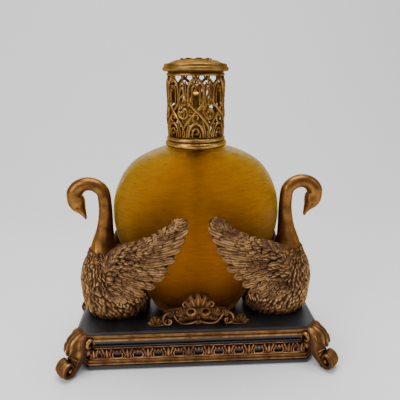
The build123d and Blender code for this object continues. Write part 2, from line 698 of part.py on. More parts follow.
def make_crown_ring():
    """Foot of the crown: two rounded beads with a groove between them."""
    with BuildPart() as crown_ring:
        with BuildSketch(Plane.XZ):
            with BuildLine():
                Line((CROWN_RING_BORE, CROWN_BOTTOM), (CROWN_RING_R - 1.6, CROWN_BOTTOM))
                ThreePointArc((CROWN_RING_R - 1.6, CROWN_BOTTOM), (CROWN_RING_R, CROWN_BOTTOM + 2.2),
                              (CROWN_RING_R - 1.3, CROWN_BOTTOM + 4.4))
                ThreePointArc((CROWN_RING_R - 1.3, CROWN_BOTTOM + 4.4),
                              (CROWN_RING_R - 0.6, CROWN_BOTTOM + 5.7),
                              (CROWN_RING_R - 1.4, CROWN_RING_TOP))
                Line((CROWN_RING_R - 1.4, CROWN_RING_TOP), (CROWN_RING_BORE, CROWN_RING_TOP))
                Line((CROWN_RING_BORE, CROWN_RING_TOP), (CROWN_RING_BORE, CROWN_BOTTOM))
            make_face()
        revolve(axis=Axis.Z)
    save(crown_ring.part, "crown_ring")


def row_planes(z, turn):
    """Planes that face outwards round the crown, one for each window of a row."""
    planes = []
    for i in range(WINDOWS_PER_ROW):
        a = 2 * pi * (i + turn) / WINDOWS_PER_ROW
        planes.append(Plane(origin=(0, 0, z), x_dir=(-sin(a), cos(a), 0), z_dir=(cos(a), sin(a), 0)))
    return planes


def make_crown_filigree():
    """Pierced sleeve of the crown."""
    with BuildPart() as crown_filigree:
        with BuildSketch(Plane.XY.offset(CROWN_RING_TOP)):
            Circle(FILIGREE_R)
            Circle(FILIGREE_R - FILIGREE_WALL, mode=Mode.SUBTRACT)
        extrude(amount=FILIGREE_TOP - CROWN_RING_TOP)
        for z, height, width, turn in FILIGREE_ROWS:
            with BuildSketch(*row_planes(z, turn)):
                SlotOverall(height, width, rotation=90)
            extrude(amount=FILIGREE_R + 2, mode=Mode.SUBTRACT)
    save(crown_filigree.part, "crown_filigree")


def make_crown_lid():
    """Lid ring under the rim, domed lid with a rolled rim, and a rosette round its opening."""
    with BuildPart() as crown_lid_ring:
        with BuildSketch(Plane.XY.offset(FILIGREE_TOP)):
            Circle(LID_RING_R)
            Circle(LID_RING_R - LID_RING_WALL, mode=Mode.SUBTRACT)
        extrude(amount=LID_RING_TOP - FILIGREE_TOP)
        fillet(crown_lid_ring.edges().group_by(Axis.Z)[0], 0.6)
    save(crown_lid_ring.part, "crown_lid_ring")

    with BuildPart() as crown_lid:
        with BuildSketch(Plane.XZ):
            with BuildLine():
                Line((LID_RING_R - LID_RING_WALL, LID_RING_TOP), (LID_RING_R + 0.4, LID_RING_TOP))
                Spline((LID_RING_R + 0.4, LID_RING_TOP), (LID_R - 0.5, LID_RING_TOP + 0.9),
                       (LID_R, LID_RING_TOP + 2.5), (LID_R - 0.9, LID_RING_TOP + 4.2),
                       (LID_R - 2.7, LID_RING_TOP + 5.1))
                Spline((LID_R - 2.7, LID_RING_TOP + 5.1), (13.6, LID_TOP - 1.0), (LID_OPENING_R, LID_TOP))
                Line((LID_OPENING_R, LID_TOP), (LID_OPENING_R, LID_TOP - LID_THICKNESS))
                Spline((LID_OPENING_R, LID_TOP - LID_THICKNESS), (13.2, LID_TOP - 2.7),
                       (17.6, LID_RING_TOP + 3.4), (LID_RING_R - LID_RING_WALL, LID_RING_TOP))
            make_face()
        revolve(axis=Axis.Z)
    save(crown_lid.part, "crown_lid")

    with BuildPart() as crown_rosette:
        with BuildSketch(Plane.XY.offset(LID_TOP - LID_THICKNESS)):
            Circle(LID_OPENING_R)
            Circle(LID_OPENING_R - ROSETTE_WALL, mode=Mode.SUBTRACT)
        extrude(amount=ROSETTE_TOP - LID_TOP + LID_THICKNESS)
        with BuildSketch(*scallop_planes()):
            Circle(SCALLOP_R)
        extrude(amount=LID_OPENING_R + 2, mode=Mode.SUBTRACT)
    save(crown_rosette.part, "crown_rosette")


def scallop_planes():
    """Planes that face outwards at the rosette's rim, one for each scallop."""
    planes = []
    for i in range(SCALLOPS):
        a = 2 * pi * (i + 0.5) / SCALLOPS
        origin = (0, 0, ROSETTE_TOP + 0.4)
        planes.append(Plane(origin=origin, x_dir=(-sin(a), cos(a), 0), z_dir=(cos(a), sin(a), 0)))
    return planes


# ---------------------------------------------------------------- the whole lamp
make_bottom_board()
make_plinth_core()
make_mouldings()
make_cove_band()
make_top_plate()
make_bottle_pad()
make_friezes()
make_feet()
make_screws()
make_swans()
make_cartouche()
make_cartouche_pins()
make_glass_bottle()
make_neck_collar()
make_burner()
make_snuffer()
make_crown_ring()
make_crown_filigree()
make_crown_lid()
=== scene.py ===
"""Looks of the swan fragrance lamp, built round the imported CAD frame.

Shapes are worked out in millimetres in the frame's own axes and written to Blender in metres.
"""
import math
import random

import bpy
import numpy as np
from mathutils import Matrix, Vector


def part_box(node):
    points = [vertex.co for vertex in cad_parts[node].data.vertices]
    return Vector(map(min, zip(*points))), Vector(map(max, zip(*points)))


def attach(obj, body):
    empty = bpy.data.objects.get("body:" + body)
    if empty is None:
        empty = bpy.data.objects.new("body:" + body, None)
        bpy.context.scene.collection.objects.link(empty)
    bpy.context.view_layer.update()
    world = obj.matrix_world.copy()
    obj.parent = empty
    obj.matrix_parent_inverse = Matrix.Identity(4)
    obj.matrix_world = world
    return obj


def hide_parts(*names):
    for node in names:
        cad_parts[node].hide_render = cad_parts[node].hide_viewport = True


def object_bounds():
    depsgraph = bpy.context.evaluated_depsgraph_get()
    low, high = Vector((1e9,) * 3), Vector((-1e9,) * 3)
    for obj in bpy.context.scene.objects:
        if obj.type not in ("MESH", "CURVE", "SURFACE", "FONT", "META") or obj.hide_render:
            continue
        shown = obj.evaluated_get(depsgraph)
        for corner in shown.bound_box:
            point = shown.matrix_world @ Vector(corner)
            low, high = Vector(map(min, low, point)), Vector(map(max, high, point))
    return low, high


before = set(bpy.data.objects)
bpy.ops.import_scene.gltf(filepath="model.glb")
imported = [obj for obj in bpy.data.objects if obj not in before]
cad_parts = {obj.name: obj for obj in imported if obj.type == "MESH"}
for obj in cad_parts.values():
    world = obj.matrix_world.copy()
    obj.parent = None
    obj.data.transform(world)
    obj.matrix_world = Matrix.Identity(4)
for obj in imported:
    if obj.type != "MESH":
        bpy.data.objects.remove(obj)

CAD_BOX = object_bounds()
MM = 0.001
RNG = random.Random(11)
SIDES = {"left": -1, "right": 1}
FACES = {"front": -1, "back": 1}


def box_mm(node):
    """Lowest and highest corner of a CAD node, in millimetres."""
    lo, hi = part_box(node)
    return Vector(lo) / MM, Vector(hi) / MM


def top_corner(node):
    return box_mm(node)[1]


PLATE_HI = top_corner("top_plate")
PLATE_TOP = PLATE_HI.z
HALF_WIDTH, HALF_DEPTH = PLATE_HI.x, PLATE_HI.y
FLASK_LO, FLASK_HI = box_mm("glass_bottle")
FLASK_HALF_WIDTH, FLASK_HALF_DEPTH = FLASK_HI.x, FLASK_HI.y
FLASK_HEIGHT = 123.1          # from the flask's foot to its shoulder


# ---------------------------------------------------------------- mesh helpers
class Sink:
    """Collects many closed shells, in millimetres, into one mesh. `relief` is 0 in a hollow, 1 on a ridge;
    the metal shaders turn it into patina and painted shade in hollows and a painted highlight on ridges.
    """

    def __init__(self):
        self.points, self.faces, self.relief = [], [], []

    def add(self, points, faces, relief=0.6):
        start = len(self.points)
        self.points.extend(tuple(p) for p in points)
        self.faces.extend(tuple(start + i for i in f) for f in faces)
        values = relief if hasattr(relief, "__len__") else [relief] * len(points)
        self.relief.extend(values)

    def build(self, name, material, body, replaces=(), slot=None, smooth=True):
        mesh = bpy.data.meshes.new(name)
        mesh.from_pydata([Vector(p) * MM for p in self.points], [], self.faces)
        mesh.validate()
        attribute = mesh.attributes.new("relief", "FLOAT", "POINT")
        attribute.data.foreach_set("value", [float(r) for r in self.relief])
        mesh.polygons.foreach_set("use_smooth", [smooth] * len(mesh.polygons))
        mesh.update()
        piece = bpy.data.objects.new(name, mesh)
        bpy.context.scene.collection.objects.link(piece)
        mesh.materials.append(material)
        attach(piece, body)
        if replaces:
            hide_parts(*replaces)
        return piece


def tube_faces(rings, sides, closed=False):
    """Quads of a tube of `rings` rings, with a cap polygon at each end unless it closes on itself."""
    faces = []
    for i in range(rings if closed else rings - 1):
        for j in range(sides):
            a, b = i * sides + j, i * sides + (j + 1) % sides
            c, d = (i + 1) % rings * sides + (j + 1) % sides, (i + 1) % rings * sides + j
            faces.append((a, b, c, d))
    if not closed:
        faces.append(tuple(reversed(range(sides))))
        faces.append(tuple(range((rings - 1) * sides, rings * sides)))
    return faces


def through(points, per_span=6):
    """Catmull-Rom curve through points of any dimension, as a numpy array."""
    p = np.array([tuple(q) for q in points], float)
    p = np.vstack([2 * p[0] - p[1], p, 2 * p[-1] - p[-2]])
    out = []
    for i in range(1, len(p) - 2):
        for k in range(per_span):
            t = k / per_span
            a, b, c, d = p[i - 1], p[i], p[i + 1], p[i + 2]
            out.append(0.5 * (2 * b + (c - a) * t + (2 * a - 5 * b + 4 * c - d) * t * t
                              + (3 * b - a - 3 * c + d) * t ** 3))
    out.append(p[-2])
    return np.array(out)


def unit(v):
    return v / (np.linalg.norm(v) + 1e-12)


def round_circle(count):
    """Angles of `count` even steps round a full circle."""
    return np.linspace(0, 2 * math.pi, count, endpoint=False)


def add_tube(sink, path, radii, sides=8, closed=False, up=None, relief=0.7):
    """A round wire along `path`. `up` gives the direction that its first side faces at a point."""
    path = np.array(path, float)
    count = len(path)
    radii = np.full(count, radii) if np.isscalar(radii) else np.array(radii)
    tangents = np.roll(path, -1, 0) - np.roll(path, 1, 0)
    if not closed:
        tangents[0], tangents[-1] = path[1] - path[0], path[-1] - path[-2]
    normal = unit(np.cross(tangents[0], (0.3, 0.7, 0.2)))
    points = []
    for i in range(count):
        t = unit(tangents[i])
        guide = up(path[i]) if up is not None else normal
        normal = unit(guide - t * np.dot(guide, t))
        side = np.cross(t, normal)
        for j in range(sides):
            a = 2 * math.pi * j / sides
            points.append(path[i] + radii[i] * (math.cos(a) * side + math.sin(a) * normal))
    sink.add(points, tube_faces(count, sides, closed), relief)


def add_lathe(sink, profile, segments=96, relief=0.6, ripple=None):
    """Turns a closed profile of (radius, height) points round the Z axis."""
    count = len(profile)
    points, values = [], []
    for j in range(segments):
        a = 2 * math.pi * j / segments
        for i, (r, z) in enumerate(profile):
            dr, dz = ripple(i, a) if ripple else (0.0, 0.0)
            points.append(((r + dr) * math.cos(a), (r + dr) * math.sin(a), z + dz))
            values.append(relief[i] if hasattr(relief, "__len__") else relief)
    faces = []
    for j in range(segments):
        k = (j + 1) % segments
        for i in range(count):
            n = (i + 1) % count
            faces.append((j * count + i, k * count + i, k * count + n, j * count + n))
    sink.add(points, faces, values)


ROOT_RELIEF = 0.15            # of a feather or leaf where it leaves the skin; kept low so that the root is coloured dark as painted shade


def add_blade(sink, spine, normals, width, thickness=0.5, arch=0.6, columns=6, grooves=0,
              shape=None, groove_depth=0.12):
    """A feather or leaf: a closed, arched blade along `spine`, with a midrib and lengthwise grooves."""
    rows = len(spine)
    spine = np.array(spine, float)
    shape = shape or feather_outline
    top, bottom, relief = [], [], []
    for i in range(rows):
        r = i / (rows - 1)
        t = unit(spine[min(i + 1, rows - 1)] - spine[max(i - 1, 0)])
        n = unit(normals[i] - t * np.dot(normals[i], t))
        side = np.cross(t, n)
        half = width * shape(r) / 2
        for j in range(columns + 1):
            c = 2 * j / columns - 1
            groove = math.cos(c * math.pi * grooves) if grooves else 1.0
            height = arch * (1 - c * c) - groove_depth * (1 - groove) + 0.22 * max(0, 1 - 6 * abs(c))
            fade = min(1.0, r * 3)
            height *= min(1.0, half / (0.3 * width + 1e-9))
            p = spine[i] + side * c * half
            top.append(p + n * height)
            bottom.append(p - n * thickness * min(1.0, 0.15 + half / width))
            value = (0.35 + 0.65 * (0.5 + 0.5 * groove)) * (1 - 0.25 * abs(c))
            relief.append(ROOT_RELIEF + (value - ROOT_RELIEF) * fade)
    wide = columns + 1
    faces = []
    for i in range(rows - 1):
        for j in range(columns):
            a = i * wide + j
            faces.append((a, a + 1, a + wide + 1, a + wide))
            b = a + rows * wide
            faces.append((b, b + wide, b + wide + 1, b + 1))
    rim = list(range(wide)) + [i * wide + columns for i in range(1, rows)]
    rim += [(rows - 1) * wide + j for j in range(columns - 1, -1, -1)]
    rim += [i * wide for i in range(rows - 2, 0, -1)]
    for a, b in zip(rim, rim[1:] + rim[:1]):
        faces.append((b, a, a + rows * wide, b + rows * wide))
    # painted shade: the underside of each blade gets a low relief, so it is coloured dark
    sink.add(top + bottom, faces, relief + [0.1] * len(bottom))


def feather_outline(r):
    """Width of a feather along its length, as a share of its widest: a stem, a swell, a round tip."""
    swell = 0.5 + 0.5 * math.sin(math.pi * min(r, 0.55) / 1.1)
    tip = math.sqrt(max(0.0, 1 - ((r - 0.72) / 0.28) ** 2)) if r > 0.72 else 1.0
    return max(0.06, swell * tip)


def leaf_outline(r):
    """Width of an acanthus lobe: narrow at the root, wide at a third, pointed at the tip."""
    return max(0.05, math.sin(math.pi * (0.12 + 0.88 * r) ** 0.75) ** 0.8)


# ---------------------------------------------------------------- materials
def new_material(name):
    material = bpy.data.materials.new(name)
    material.use_nodes = True
    return material, material.node_tree, material.node_tree.nodes["Principled BSDF"]


def add_node(tree, kind, inputs=None, **settings):
    """A shader node with its settings and its unlinked input values."""
    made = tree.nodes.new(kind)
    for key, value in settings.items():
        setattr(made, key, value)
    for key, value in (inputs or {}).items():
        made.inputs[key].default_value = value
    return made


def add_ramp(tree, source, stops):
    """Colour ramp from (position, value) stops, read as a factor."""
    ramp = tree.nodes.new("ShaderNodeValToRGB")
    ramp.color_ramp.elements[0].position, ramp.color_ramp.elements[1].position = stops[0][0], stops[-1][0]
    for position, _ in stops[1:-1]:
        ramp.color_ramp.elements.new(position)
    for element, (_, value) in zip(ramp.color_ramp.elements, stops):
        element.color = (value, value, value, 1)
    tree.links.new(source, ramp.inputs["Fac"])
    return ramp.outputs["Color"]


def add_math(tree, operation, a, b):
    """A math node on sockets or numbers."""
    made = add_node(tree, "ShaderNodeMath", operation=operation)
    for socket, value in zip(made.inputs, (a, b)):
        if isinstance(value, (int, float)):
            socket.default_value = value
        else:
            tree.links.new(value, socket)
    return made.outputs[0]


def add_noise(tree, scale, detail=4.0, stretch=(1, 1, 1)):
    """Noise in the object's own coordinates; `scale` is in features per metre."""
    place = tree.nodes.new("ShaderNodeTexCoord")
    mapping = add_node(tree, "ShaderNodeMapping", {"Scale": stretch})
    tree.links.new(place.outputs["Object"], mapping.inputs["Vector"])
    made = add_node(tree, "ShaderNodeTexNoise", {"Scale": scale, "Detail": detail})
    tree.links.new(mapping.outputs[0], made.inputs["Vector"])
    return made.outputs["Fac"]


def mix_colour(tree, factor, a, b):
    made = add_node(tree, "ShaderNodeMix", data_type="RGBA")
    for socket, value in ((made.inputs[6], a), (made.inputs[7], b)):
        if isinstance(value, tuple):
            socket.default_value = (*value, 1)
        else:
            tree.links.new(value, socket)
    tree.links.new(factor, made.inputs[0])
    return made.outputs[2]


def add_bump(tree, shader, height, strength, distance):
    bump = add_node(tree, "ShaderNodeBump", {"Strength": strength, "Distance": distance})
    tree.links.new(height, bump.inputs["Height"])
    tree.links.new(bump.outputs[0], shader.inputs["Normal"])


def worn_metal_with_painted_light(name, bright, mid, dark, use_relief=True, reach=0.003, shine=(0.3, 0.72), grain=900):
    """Metal or metallic paint: patina and painted shade darken the hollows, and the ridges are rubbed bright
    and carry a painted highlight.
    """
    material, tree, shader = new_material(name)
    # painted shade: ambient occlusion darkens the colour in hollows and creases, on top of the patina
    occlusion = add_node(tree, "ShaderNodeAmbientOcclusion", {"Distance": reach}, samples=8)
    open_to_light = add_ramp(tree, occlusion.outputs["AO"], [(0.35, 0.0), (0.65, 0.5), (0.97, 1.0)])
    mottle = add_ramp(tree, add_noise(tree, 170, 6.0), [(0.3, 0.45), (0.68, 1.0)])
    wear_and_light_mask = add_math(tree, "MULTIPLY", open_to_light, mottle)
    if use_relief:
        # painted highlight and shade: the relief attribute brightens ridges and darkens hollows, along with
        # the rubbed wear
        relief = add_node(tree, "ShaderNodeAttribute", attribute_name="relief")
        ridge = add_ramp(tree, relief.outputs["Fac"], [(0.08, 0.1), (0.45, 0.6), (0.85, 1.0)])
        wear_and_light_mask = add_math(tree, "MULTIPLY", wear_and_light_mask, ridge)
    lower = mix_colour(tree, add_ramp(tree, wear_and_light_mask, [(0.0, 0.0), (0.5, 1.0)]), dark, mid)
    colour = mix_colour(tree, add_ramp(tree, wear_and_light_mask, [(0.45, 0.0), (0.95, 1.0)]), lower, bright)
    tree.links.new(colour, shader.inputs["Base Color"])
    tree.links.new(add_ramp(tree, wear_and_light_mask, [(0.0, shine[1]), (0.9, shine[0])]), shader.inputs["Roughness"])
    tree.links.new(add_ramp(tree, wear_and_light_mask, [(0.0, 0.25), (0.6, 0.95)]), shader.inputs["Metallic"])
    shader.inputs["Specular Tint"].default_value = (0.7, 0.5, 0.3, 1)
    add_bump(tree, shader, add_noise(tree, grain, 6.0), 0.35, 0.0002)
    return material


def black_lacquer():
    """Satin black paint with a slight orange peel."""
    material, tree, shader = new_material("black_lacquer_paint")
    haze = add_noise(tree, 60, 5.0)
    colour = mix_colour(tree, add_ramp(tree, haze, [(0.35, 0.0), (0.75, 1.0)]),
                        (0.006, 0.006, 0.008), (0.018, 0.019, 0.024))
    tree.links.new(colour, shader.inputs["Base Color"])
    tree.links.new(add_ramp(tree, haze, [(0.3, 0.3), (0.8, 0.44)]), shader.inputs["Roughness"])
    shader.inputs["Coat Weight"].default_value = 0.25
    shader.inputs["Coat Roughness"].default_value = 0.3
    add_bump(tree, shader, add_noise(tree, 420, 3.0), 0.12, 0.0002)
    return material


def amber_glass():
    """Amber glass, frosted by a fine crackle that runs mostly sideways, with painted shade: darker towards
    the foot, where the glass faces the camera over the wick, and at its grazing edges.
    """
    material, tree, shader = new_material("amber_crackle_glass")
    streak = add_noise(tree, 640, 6.0, stretch=(0.45, 0.45, 1.9))
    drawn = add_noise(tree, 230, 5.0, stretch=(0.5, 0.5, 2.4))
    place = tree.nodes.new("ShaderNodeTexCoord")
    mapping = add_node(tree, "ShaderNodeMapping", {"Scale": (0.4, 0.4, 1.6)})
    tree.links.new(place.outputs["Object"], mapping.inputs["Vector"])
    cells = add_node(tree, "ShaderNodeTexVoronoi", {"Scale": 760.0, "Randomness": 1.0},
                     feature="DISTANCE_TO_EDGE")
    tree.links.new(mapping.outputs[0], cells.inputs["Vector"])
    crack = add_ramp(tree, cells.outputs["Distance"], [(0.0, 0.0), (0.08, 1.0)])
    split = tree.nodes.new("ShaderNodeSeparateXYZ")
    tree.links.new(place.outputs["Object"], split.inputs[0])
    height = add_node(tree, "ShaderNodeMapRange", {"From Min": FLASK_LO.z * MM, "From Max": FLASK_HI.z * MM})
    tree.links.new(split.outputs["Z"], height.inputs["Value"])
    patches = add_math(tree, "SUBTRACT", add_noise(tree, 26, 3.0), 0.5)
    cloud = add_math(tree, "MULTIPLY", patches, 0.26)
    depth = add_math(tree, "ADD", height.outputs["Result"], cloud)
    # painted shade: the colour darkens towards the flask's foot, with a cloudy edge, and lightens higher up
    foot = mix_colour(tree, add_ramp(tree, depth, [(0.06, 0.0), (0.27, 1.0)]), (0.08, 0.028, 0.014),
                      (0.84, 0.40, 0.004))
    body = mix_colour(tree, add_ramp(tree, depth, [(0.2, 0.0), (0.75, 1.0)]), foot, (0.93, 0.625, 0.003))
    # painted shade: darker where the glass faces the camera, standing in for the wick's shadow, and at its
    # grazing edges
    facing = add_node(tree, "ShaderNodeLayerWeight", {"Blend": 0.5})
    rim = add_ramp(tree, facing.outputs["Facing"], [(0.0, 0.3), (0.4, 1.0), (0.8, 1.0), (0.96, 0.1)])
    body = mix_colour(tree, rim, (0.64, 0.34, 0.003), body)
    clear = add_ramp(tree, cells.outputs["Distance"], [(0.0, 0.6), (0.1, 1.0)])
    clear = add_math(tree, "MULTIPLY", clear, add_ramp(tree, drawn, [(0.36, 0.38), (0.58, 1.0)]))
    tree.links.new(mix_colour(tree, clear, (0.52, 0.25, 0.004), body), shader.inputs["Base Color"])
    shader.inputs["Transmission Weight"].default_value = 1.0
    shader.inputs["IOR"].default_value = 1.42
    shader.inputs["Specular IOR Level"].default_value = 0.06
    shader.inputs["Specular Tint"].default_value = (1.0, 0.5, 0.02, 1)
    tree.links.new(add_ramp(tree, streak, [(0.3, 0.27), (0.7, 0.40)]), shader.inputs["Roughness"])
    grain = add_math(tree, "ADD", streak, drawn)
    ridges = add_math(tree, "ADD", add_math(tree, "MULTIPLY", crack, 0.4), grain)
    add_bump(tree, shader, ridges, 0.8, 0.0005)
    return material


def porous(name, light, dark, scale, roughness=0.9):
    """Matt material for stone, cotton, felt and rubber: two tones of fine noise."""
    material, tree, shader = new_material(name)
    fine = add_noise(tree, scale, 6.0)
    tree.links.new(mix_colour(tree, add_ramp(tree, fine, [(0.35, 0.0), (0.65, 1.0)]), dark, light),
                   shader.inputs["Base Color"])
    shader.inputs["Roughness"].default_value = roughness
    add_bump(tree, shader, fine, 0.4, 0.0003)
    return material


GOLD = worn_metal_with_painted_light("antique_gold_paint", (0.58, 0.30, 0.125), (0.22, 0.087, 0.042), (0.018, 0.007, 0.006))
PLUMAGE = worn_metal_with_painted_light("plumage_paint", (0.62, 0.36, 0.145), (0.155, 0.072, 0.032), (0.017, 0.006, 0.007),
                       reach=0.0016)
COPPER_GOLD = worn_metal_with_painted_light("copper_gold_paint", (0.36, 0.165, 0.042), (0.15, 0.058, 0.016),
                           (0.024, 0.009, 0.005), reach=0.004, shine=(0.28, 0.6))
BRASS = worn_metal_with_painted_light("antique_brass_metal", (0.52, 0.305, 0.07), (0.19, 0.09, 0.020), (0.024, 0.009, 0.003),
                     use_relief=False, shine=(0.2, 0.5), grain=1500)
FILIGREE_BRASS = worn_metal_with_painted_light("filigree_brass_metal", (0.46, 0.245, 0.055), (0.17, 0.072, 0.017),
                              (0.028, 0.010, 0.003), use_relief=False, shine=(0.22, 0.5), grain=1500)
DULL_GOLD = worn_metal_with_painted_light("dull_gold_paint", (0.41, 0.21, 0.068), (0.15, 0.062, 0.021), (0.018, 0.007, 0.006))
AGED_BRASS = worn_metal_with_painted_light("aged_brass_metal", (0.36, 0.20, 0.05), (0.14, 0.068, 0.018), (0.020, 0.008, 0.003),
                          use_relief=False, shine=(0.33, 0.6), grain=1500)
# painted shade: a very dark brass for the lid's lip, standing in for the shaded inside of the mouth
MOUTH_SHADE_BRASS = worn_metal_with_painted_light("brass_with_painted_mouth_shade", (0.12, 0.055, 0.016), (0.05, 0.022, 0.007),
                          (0.010, 0.004, 0.002), use_relief=False, reach=0.004, shine=(0.35, 0.6), grain=1500)
BLACK = black_lacquer()
GLASS = amber_glass()
STONE = porous("porous_stone", (0.86, 0.83, 0.77), (0.68, 0.64, 0.58), 1800)
CATALYST = porous("catalyst_coat", (0.10, 0.095, 0.09), (0.03, 0.03, 0.03), 2200)
COTTON = porous("braided_cotton", (0.86, 0.80, 0.68), (0.62, 0.53, 0.40), 2600)
FELT = porous("black_felt", (0.045, 0.045, 0.05), (0.012, 0.012, 0.014), 2400, 0.98)
RUBBER = porous("seal_rubber_black", (0.035, 0.035, 0.035), (0.015, 0.015, 0.015), 1500, 0.7)
STEEL = worn_metal_with_painted_light("zinc_plated_steel", (0.62, 0.62, 0.62), (0.42, 0.42, 0.43), (0.12, 0.12, 0.12),
                     use_relief=False, shine=(0.28, 0.5))


# ---------------------------------------------------------------- flask
FLASK_PROFILE = [             # height above the foot, half width, half depth, as shares of the largest
    (0.000, 0.500, 0.610),
    (0.013, 0.542, 0.677),
    (0.078, 0.614, 0.760),
    (0.200, 0.744, 0.859),
    (0.322, 0.861, 0.932),
    (0.444, 0.950, 0.977),
    (0.549, 0.995, 0.996),
    (0.630, 1.000, 1.000),
    (0.712, 0.978, 0.996),
    (0.793, 0.919, 0.977),
    (0.866, 0.830, 0.947),
    (0.923, 0.713, 0.905),
    (0.967, 0.545, 0.844),
    (0.991, 0.401, 0.776),
    (1.000, 0.309, 0.684),
]
FLASK_FOOT = FLASK_LO.z
SHOULDER_Z = FLASK_FOOT + FLASK_HEIGHT
GLASS_WALL = 3.0
NECK_R, NECK_BORE = 11.0, 7.9


def flask_section(z):
    """Half width and half depth of the flask at a height."""
    share = min(max((z - FLASK_FOOT) / FLASK_HEIGHT, 0.0), 1.0)
    heights = [row[0] for row in FLASK_CURVE]
    half_width = np.interp(share, heights, [row[1] for row in FLASK_CURVE])
    half_depth = np.interp(share, heights, [row[2] for row in FLASK_CURVE])
    return half_width * FLASK_HALF_WIDTH, half_depth * FLASK_HALF_DEPTH


FLASK_CURVE = through(FLASK_PROFILE, 6)


def make_flask():
    """Blown flask with a real wall: outer skin, neck, bore and inner skin in one closed shell."""
    segments = 144
    rings = [(0.02, 0.02, FLASK_FOOT + 1.6), (17.0, 9.0, FLASK_FOOT + 1.4), (24.0, 13.0, FLASK_FOOT + 0.3)]
    outer = [(row[1] * FLASK_HALF_WIDTH, row[2] * FLASK_HALF_DEPTH, FLASK_FOOT + row[0] * FLASK_HEIGHT)
             for row in FLASK_CURVE]
    rings += outer
    rings += [(14.0, 13.4, SHOULDER_Z + 0.25), (11.6, 11.6, SHOULDER_Z + 0.6)]
    rings += [(NECK_R, NECK_R, SHOULDER_Z + 1.4), (NECK_R, NECK_R, FLASK_HI.z - 0.5)]
    rings += [(NECK_R - 0.5, NECK_R - 0.5, FLASK_HI.z)]
    rings += [(NECK_BORE + 0.5, NECK_BORE + 0.5, FLASK_HI.z), (NECK_BORE, NECK_BORE, FLASK_HI.z - 0.5)]
    rings += [(NECK_BORE, NECK_BORE, SHOULDER_Z - 2.5)]
    middle = FLASK_FOOT + FLASK_HEIGHT / 2
    shrink = 1 - 2 * GLASS_WALL / FLASK_HEIGHT
    for a, b, z in reversed(outer[1:]):
        if a - GLASS_WALL > NECK_BORE + 2:
            rings.append((a - GLASS_WALL, max(b - GLASS_WALL, 6.0), middle + (z - middle) * shrink))
    rings += [(17.0, 8.6, FLASK_FOOT + 4.6), (0.02, 0.02, FLASK_FOOT + 5.2)]
    points = []
    for a, b, z in rings:
        for j in range(segments):
            t = 2 * math.pi * j / segments
            points.append((a * math.cos(t), b * math.sin(t), z))
    sink = Sink()
    sink.add(points, tube_faces(len(rings), segments))
    return sink.build("flask", GLASS, "bottle", ["glass_bottle"], "amber_glass")


# ---------------------------------------------------------------- swans
SWAN_HI = top_corner("swan_right")
SWAN_STATIONS = [             # inwards from the head's outermost point, above the plate, lean, half depth,
    (31.0, 0.0, 0, 14.0, 18.6),       # half length; lean is 0 where the path rises, 90 outwards, 180 down
    (31.0, 3.5, 0, 18.4, 22.2),
    (30.8, 9.5, 0, 21.8, 24.2),
    (30.4, 18.5, 0, 23.2, 24.6),
    (28.0, 29.5, 0, 22.4, 22.2),
    (25.0, 38.5, 0, 18.0, 16.9),
    (23.2, 46.5, 0, 12.2, 11.6),
    (22.8, 54.5, -4, 8.4, 8.2),
    (24.5, 64.5, -8, 6.1, 6.0),
    (25.7, 74.5, -4, 5.0, 5.0),
    (26.0, 82.0, 0, 4.6, 4.6),
]
HOOK_IN, HOOK_UP, HOOK_R = 15.4, 87.5, 10.6
HEAD_STATIONS = [
    (5.9, 88.3, 180, 4.9, 5.9),
    (6.5, 84.5, 191, 5.0, 5.9),
    (7.7, 81.4, 203, 4.4, 4.9),
    (9.4, 78.7, 210, 3.1, 3.2),
    (10.6, 75.9, 203, 2.0, 1.9),
    (11.4, 73.4, 196, 1.3, 1.1),
    (11.6, 71.9, 194, 0.35, 0.3),
]
SWAN_RINGS_PER_STATION = 7
SWAN_SEGMENTS = 72
FLASK_GAP = 0.9               # kept between a swan's skin and the flask
FEATHER_GAP = 2.6             # no feather grows nearer to the flask than this
FEATHERED_RINGS = 60          # rings of the swan's curve, from the plate up, that may carry feathers


def swan_curve():
    """Centre, lean and half sizes all the way from the plate to the beak's tip."""
    rows = [(SWAN_HI.x - inwards, PLATE_TOP + up, lean, depth, length)
            for inwards, up, lean, depth, length in SWAN_STATIONS]
    for lean in range(20, 156, 27):
        a = math.radians(lean)
        size = 4.6 + 0.8 * max(0, lean - 95) / 60
        rows.append((SWAN_HI.x - HOOK_IN - HOOK_R * math.cos(a), PLATE_TOP + HOOK_UP + HOOK_R * math.sin(a),
                     lean, size, size))
    for inwards, up, lean, depth, length in HEAD_STATIONS:
        rows.append((SWAN_HI.x - inwards, PLATE_TOP + up, lean, depth, length))
    return through(rows, SWAN_RINGS_PER_STATION)


SWAN_CURVE = swan_curve()


def swan_point(side, row, around):
    """Point on a swan's skin. `around` is 0 on the side away from the flask and runs past the front."""
    x, z, lean, depth, length = row
    a = math.radians(lean)
    across = length * math.cos(around)
    px, pz = x + across * math.cos(a), z - across * math.sin(a)
    py = -depth * math.sin(around)
    if pz < FLASK_HI.z:
        half_width, half_depth = flask_section(pz)
        inside = math.hypot(px / (half_width + FLASK_GAP), py / (half_depth + FLASK_GAP))
        if 1e-6 < inside < 1:
            px, py = px / inside, py / inside
    return np.array((side * px, py, pz))


def swan_normal(side, index, around):
    """Outward normal of the skin by small differences."""
    i = min(max(index, 1), len(SWAN_CURVE) - 2)
    up = swan_point(side, SWAN_CURVE[i + 1], around) - swan_point(side, SWAN_CURVE[i - 1], around)
    along = swan_point(side, SWAN_CURVE[i], around + 0.05) - swan_point(side, SWAN_CURVE[i], around - 0.05)
    n = unit(np.cross(along, up))
    centre = np.array((side * SWAN_CURVE[i][0], 0, SWAN_CURVE[i][1]))
    return n if np.dot(n, swan_point(side, SWAN_CURVE[i], around) - centre) > 0 else -n


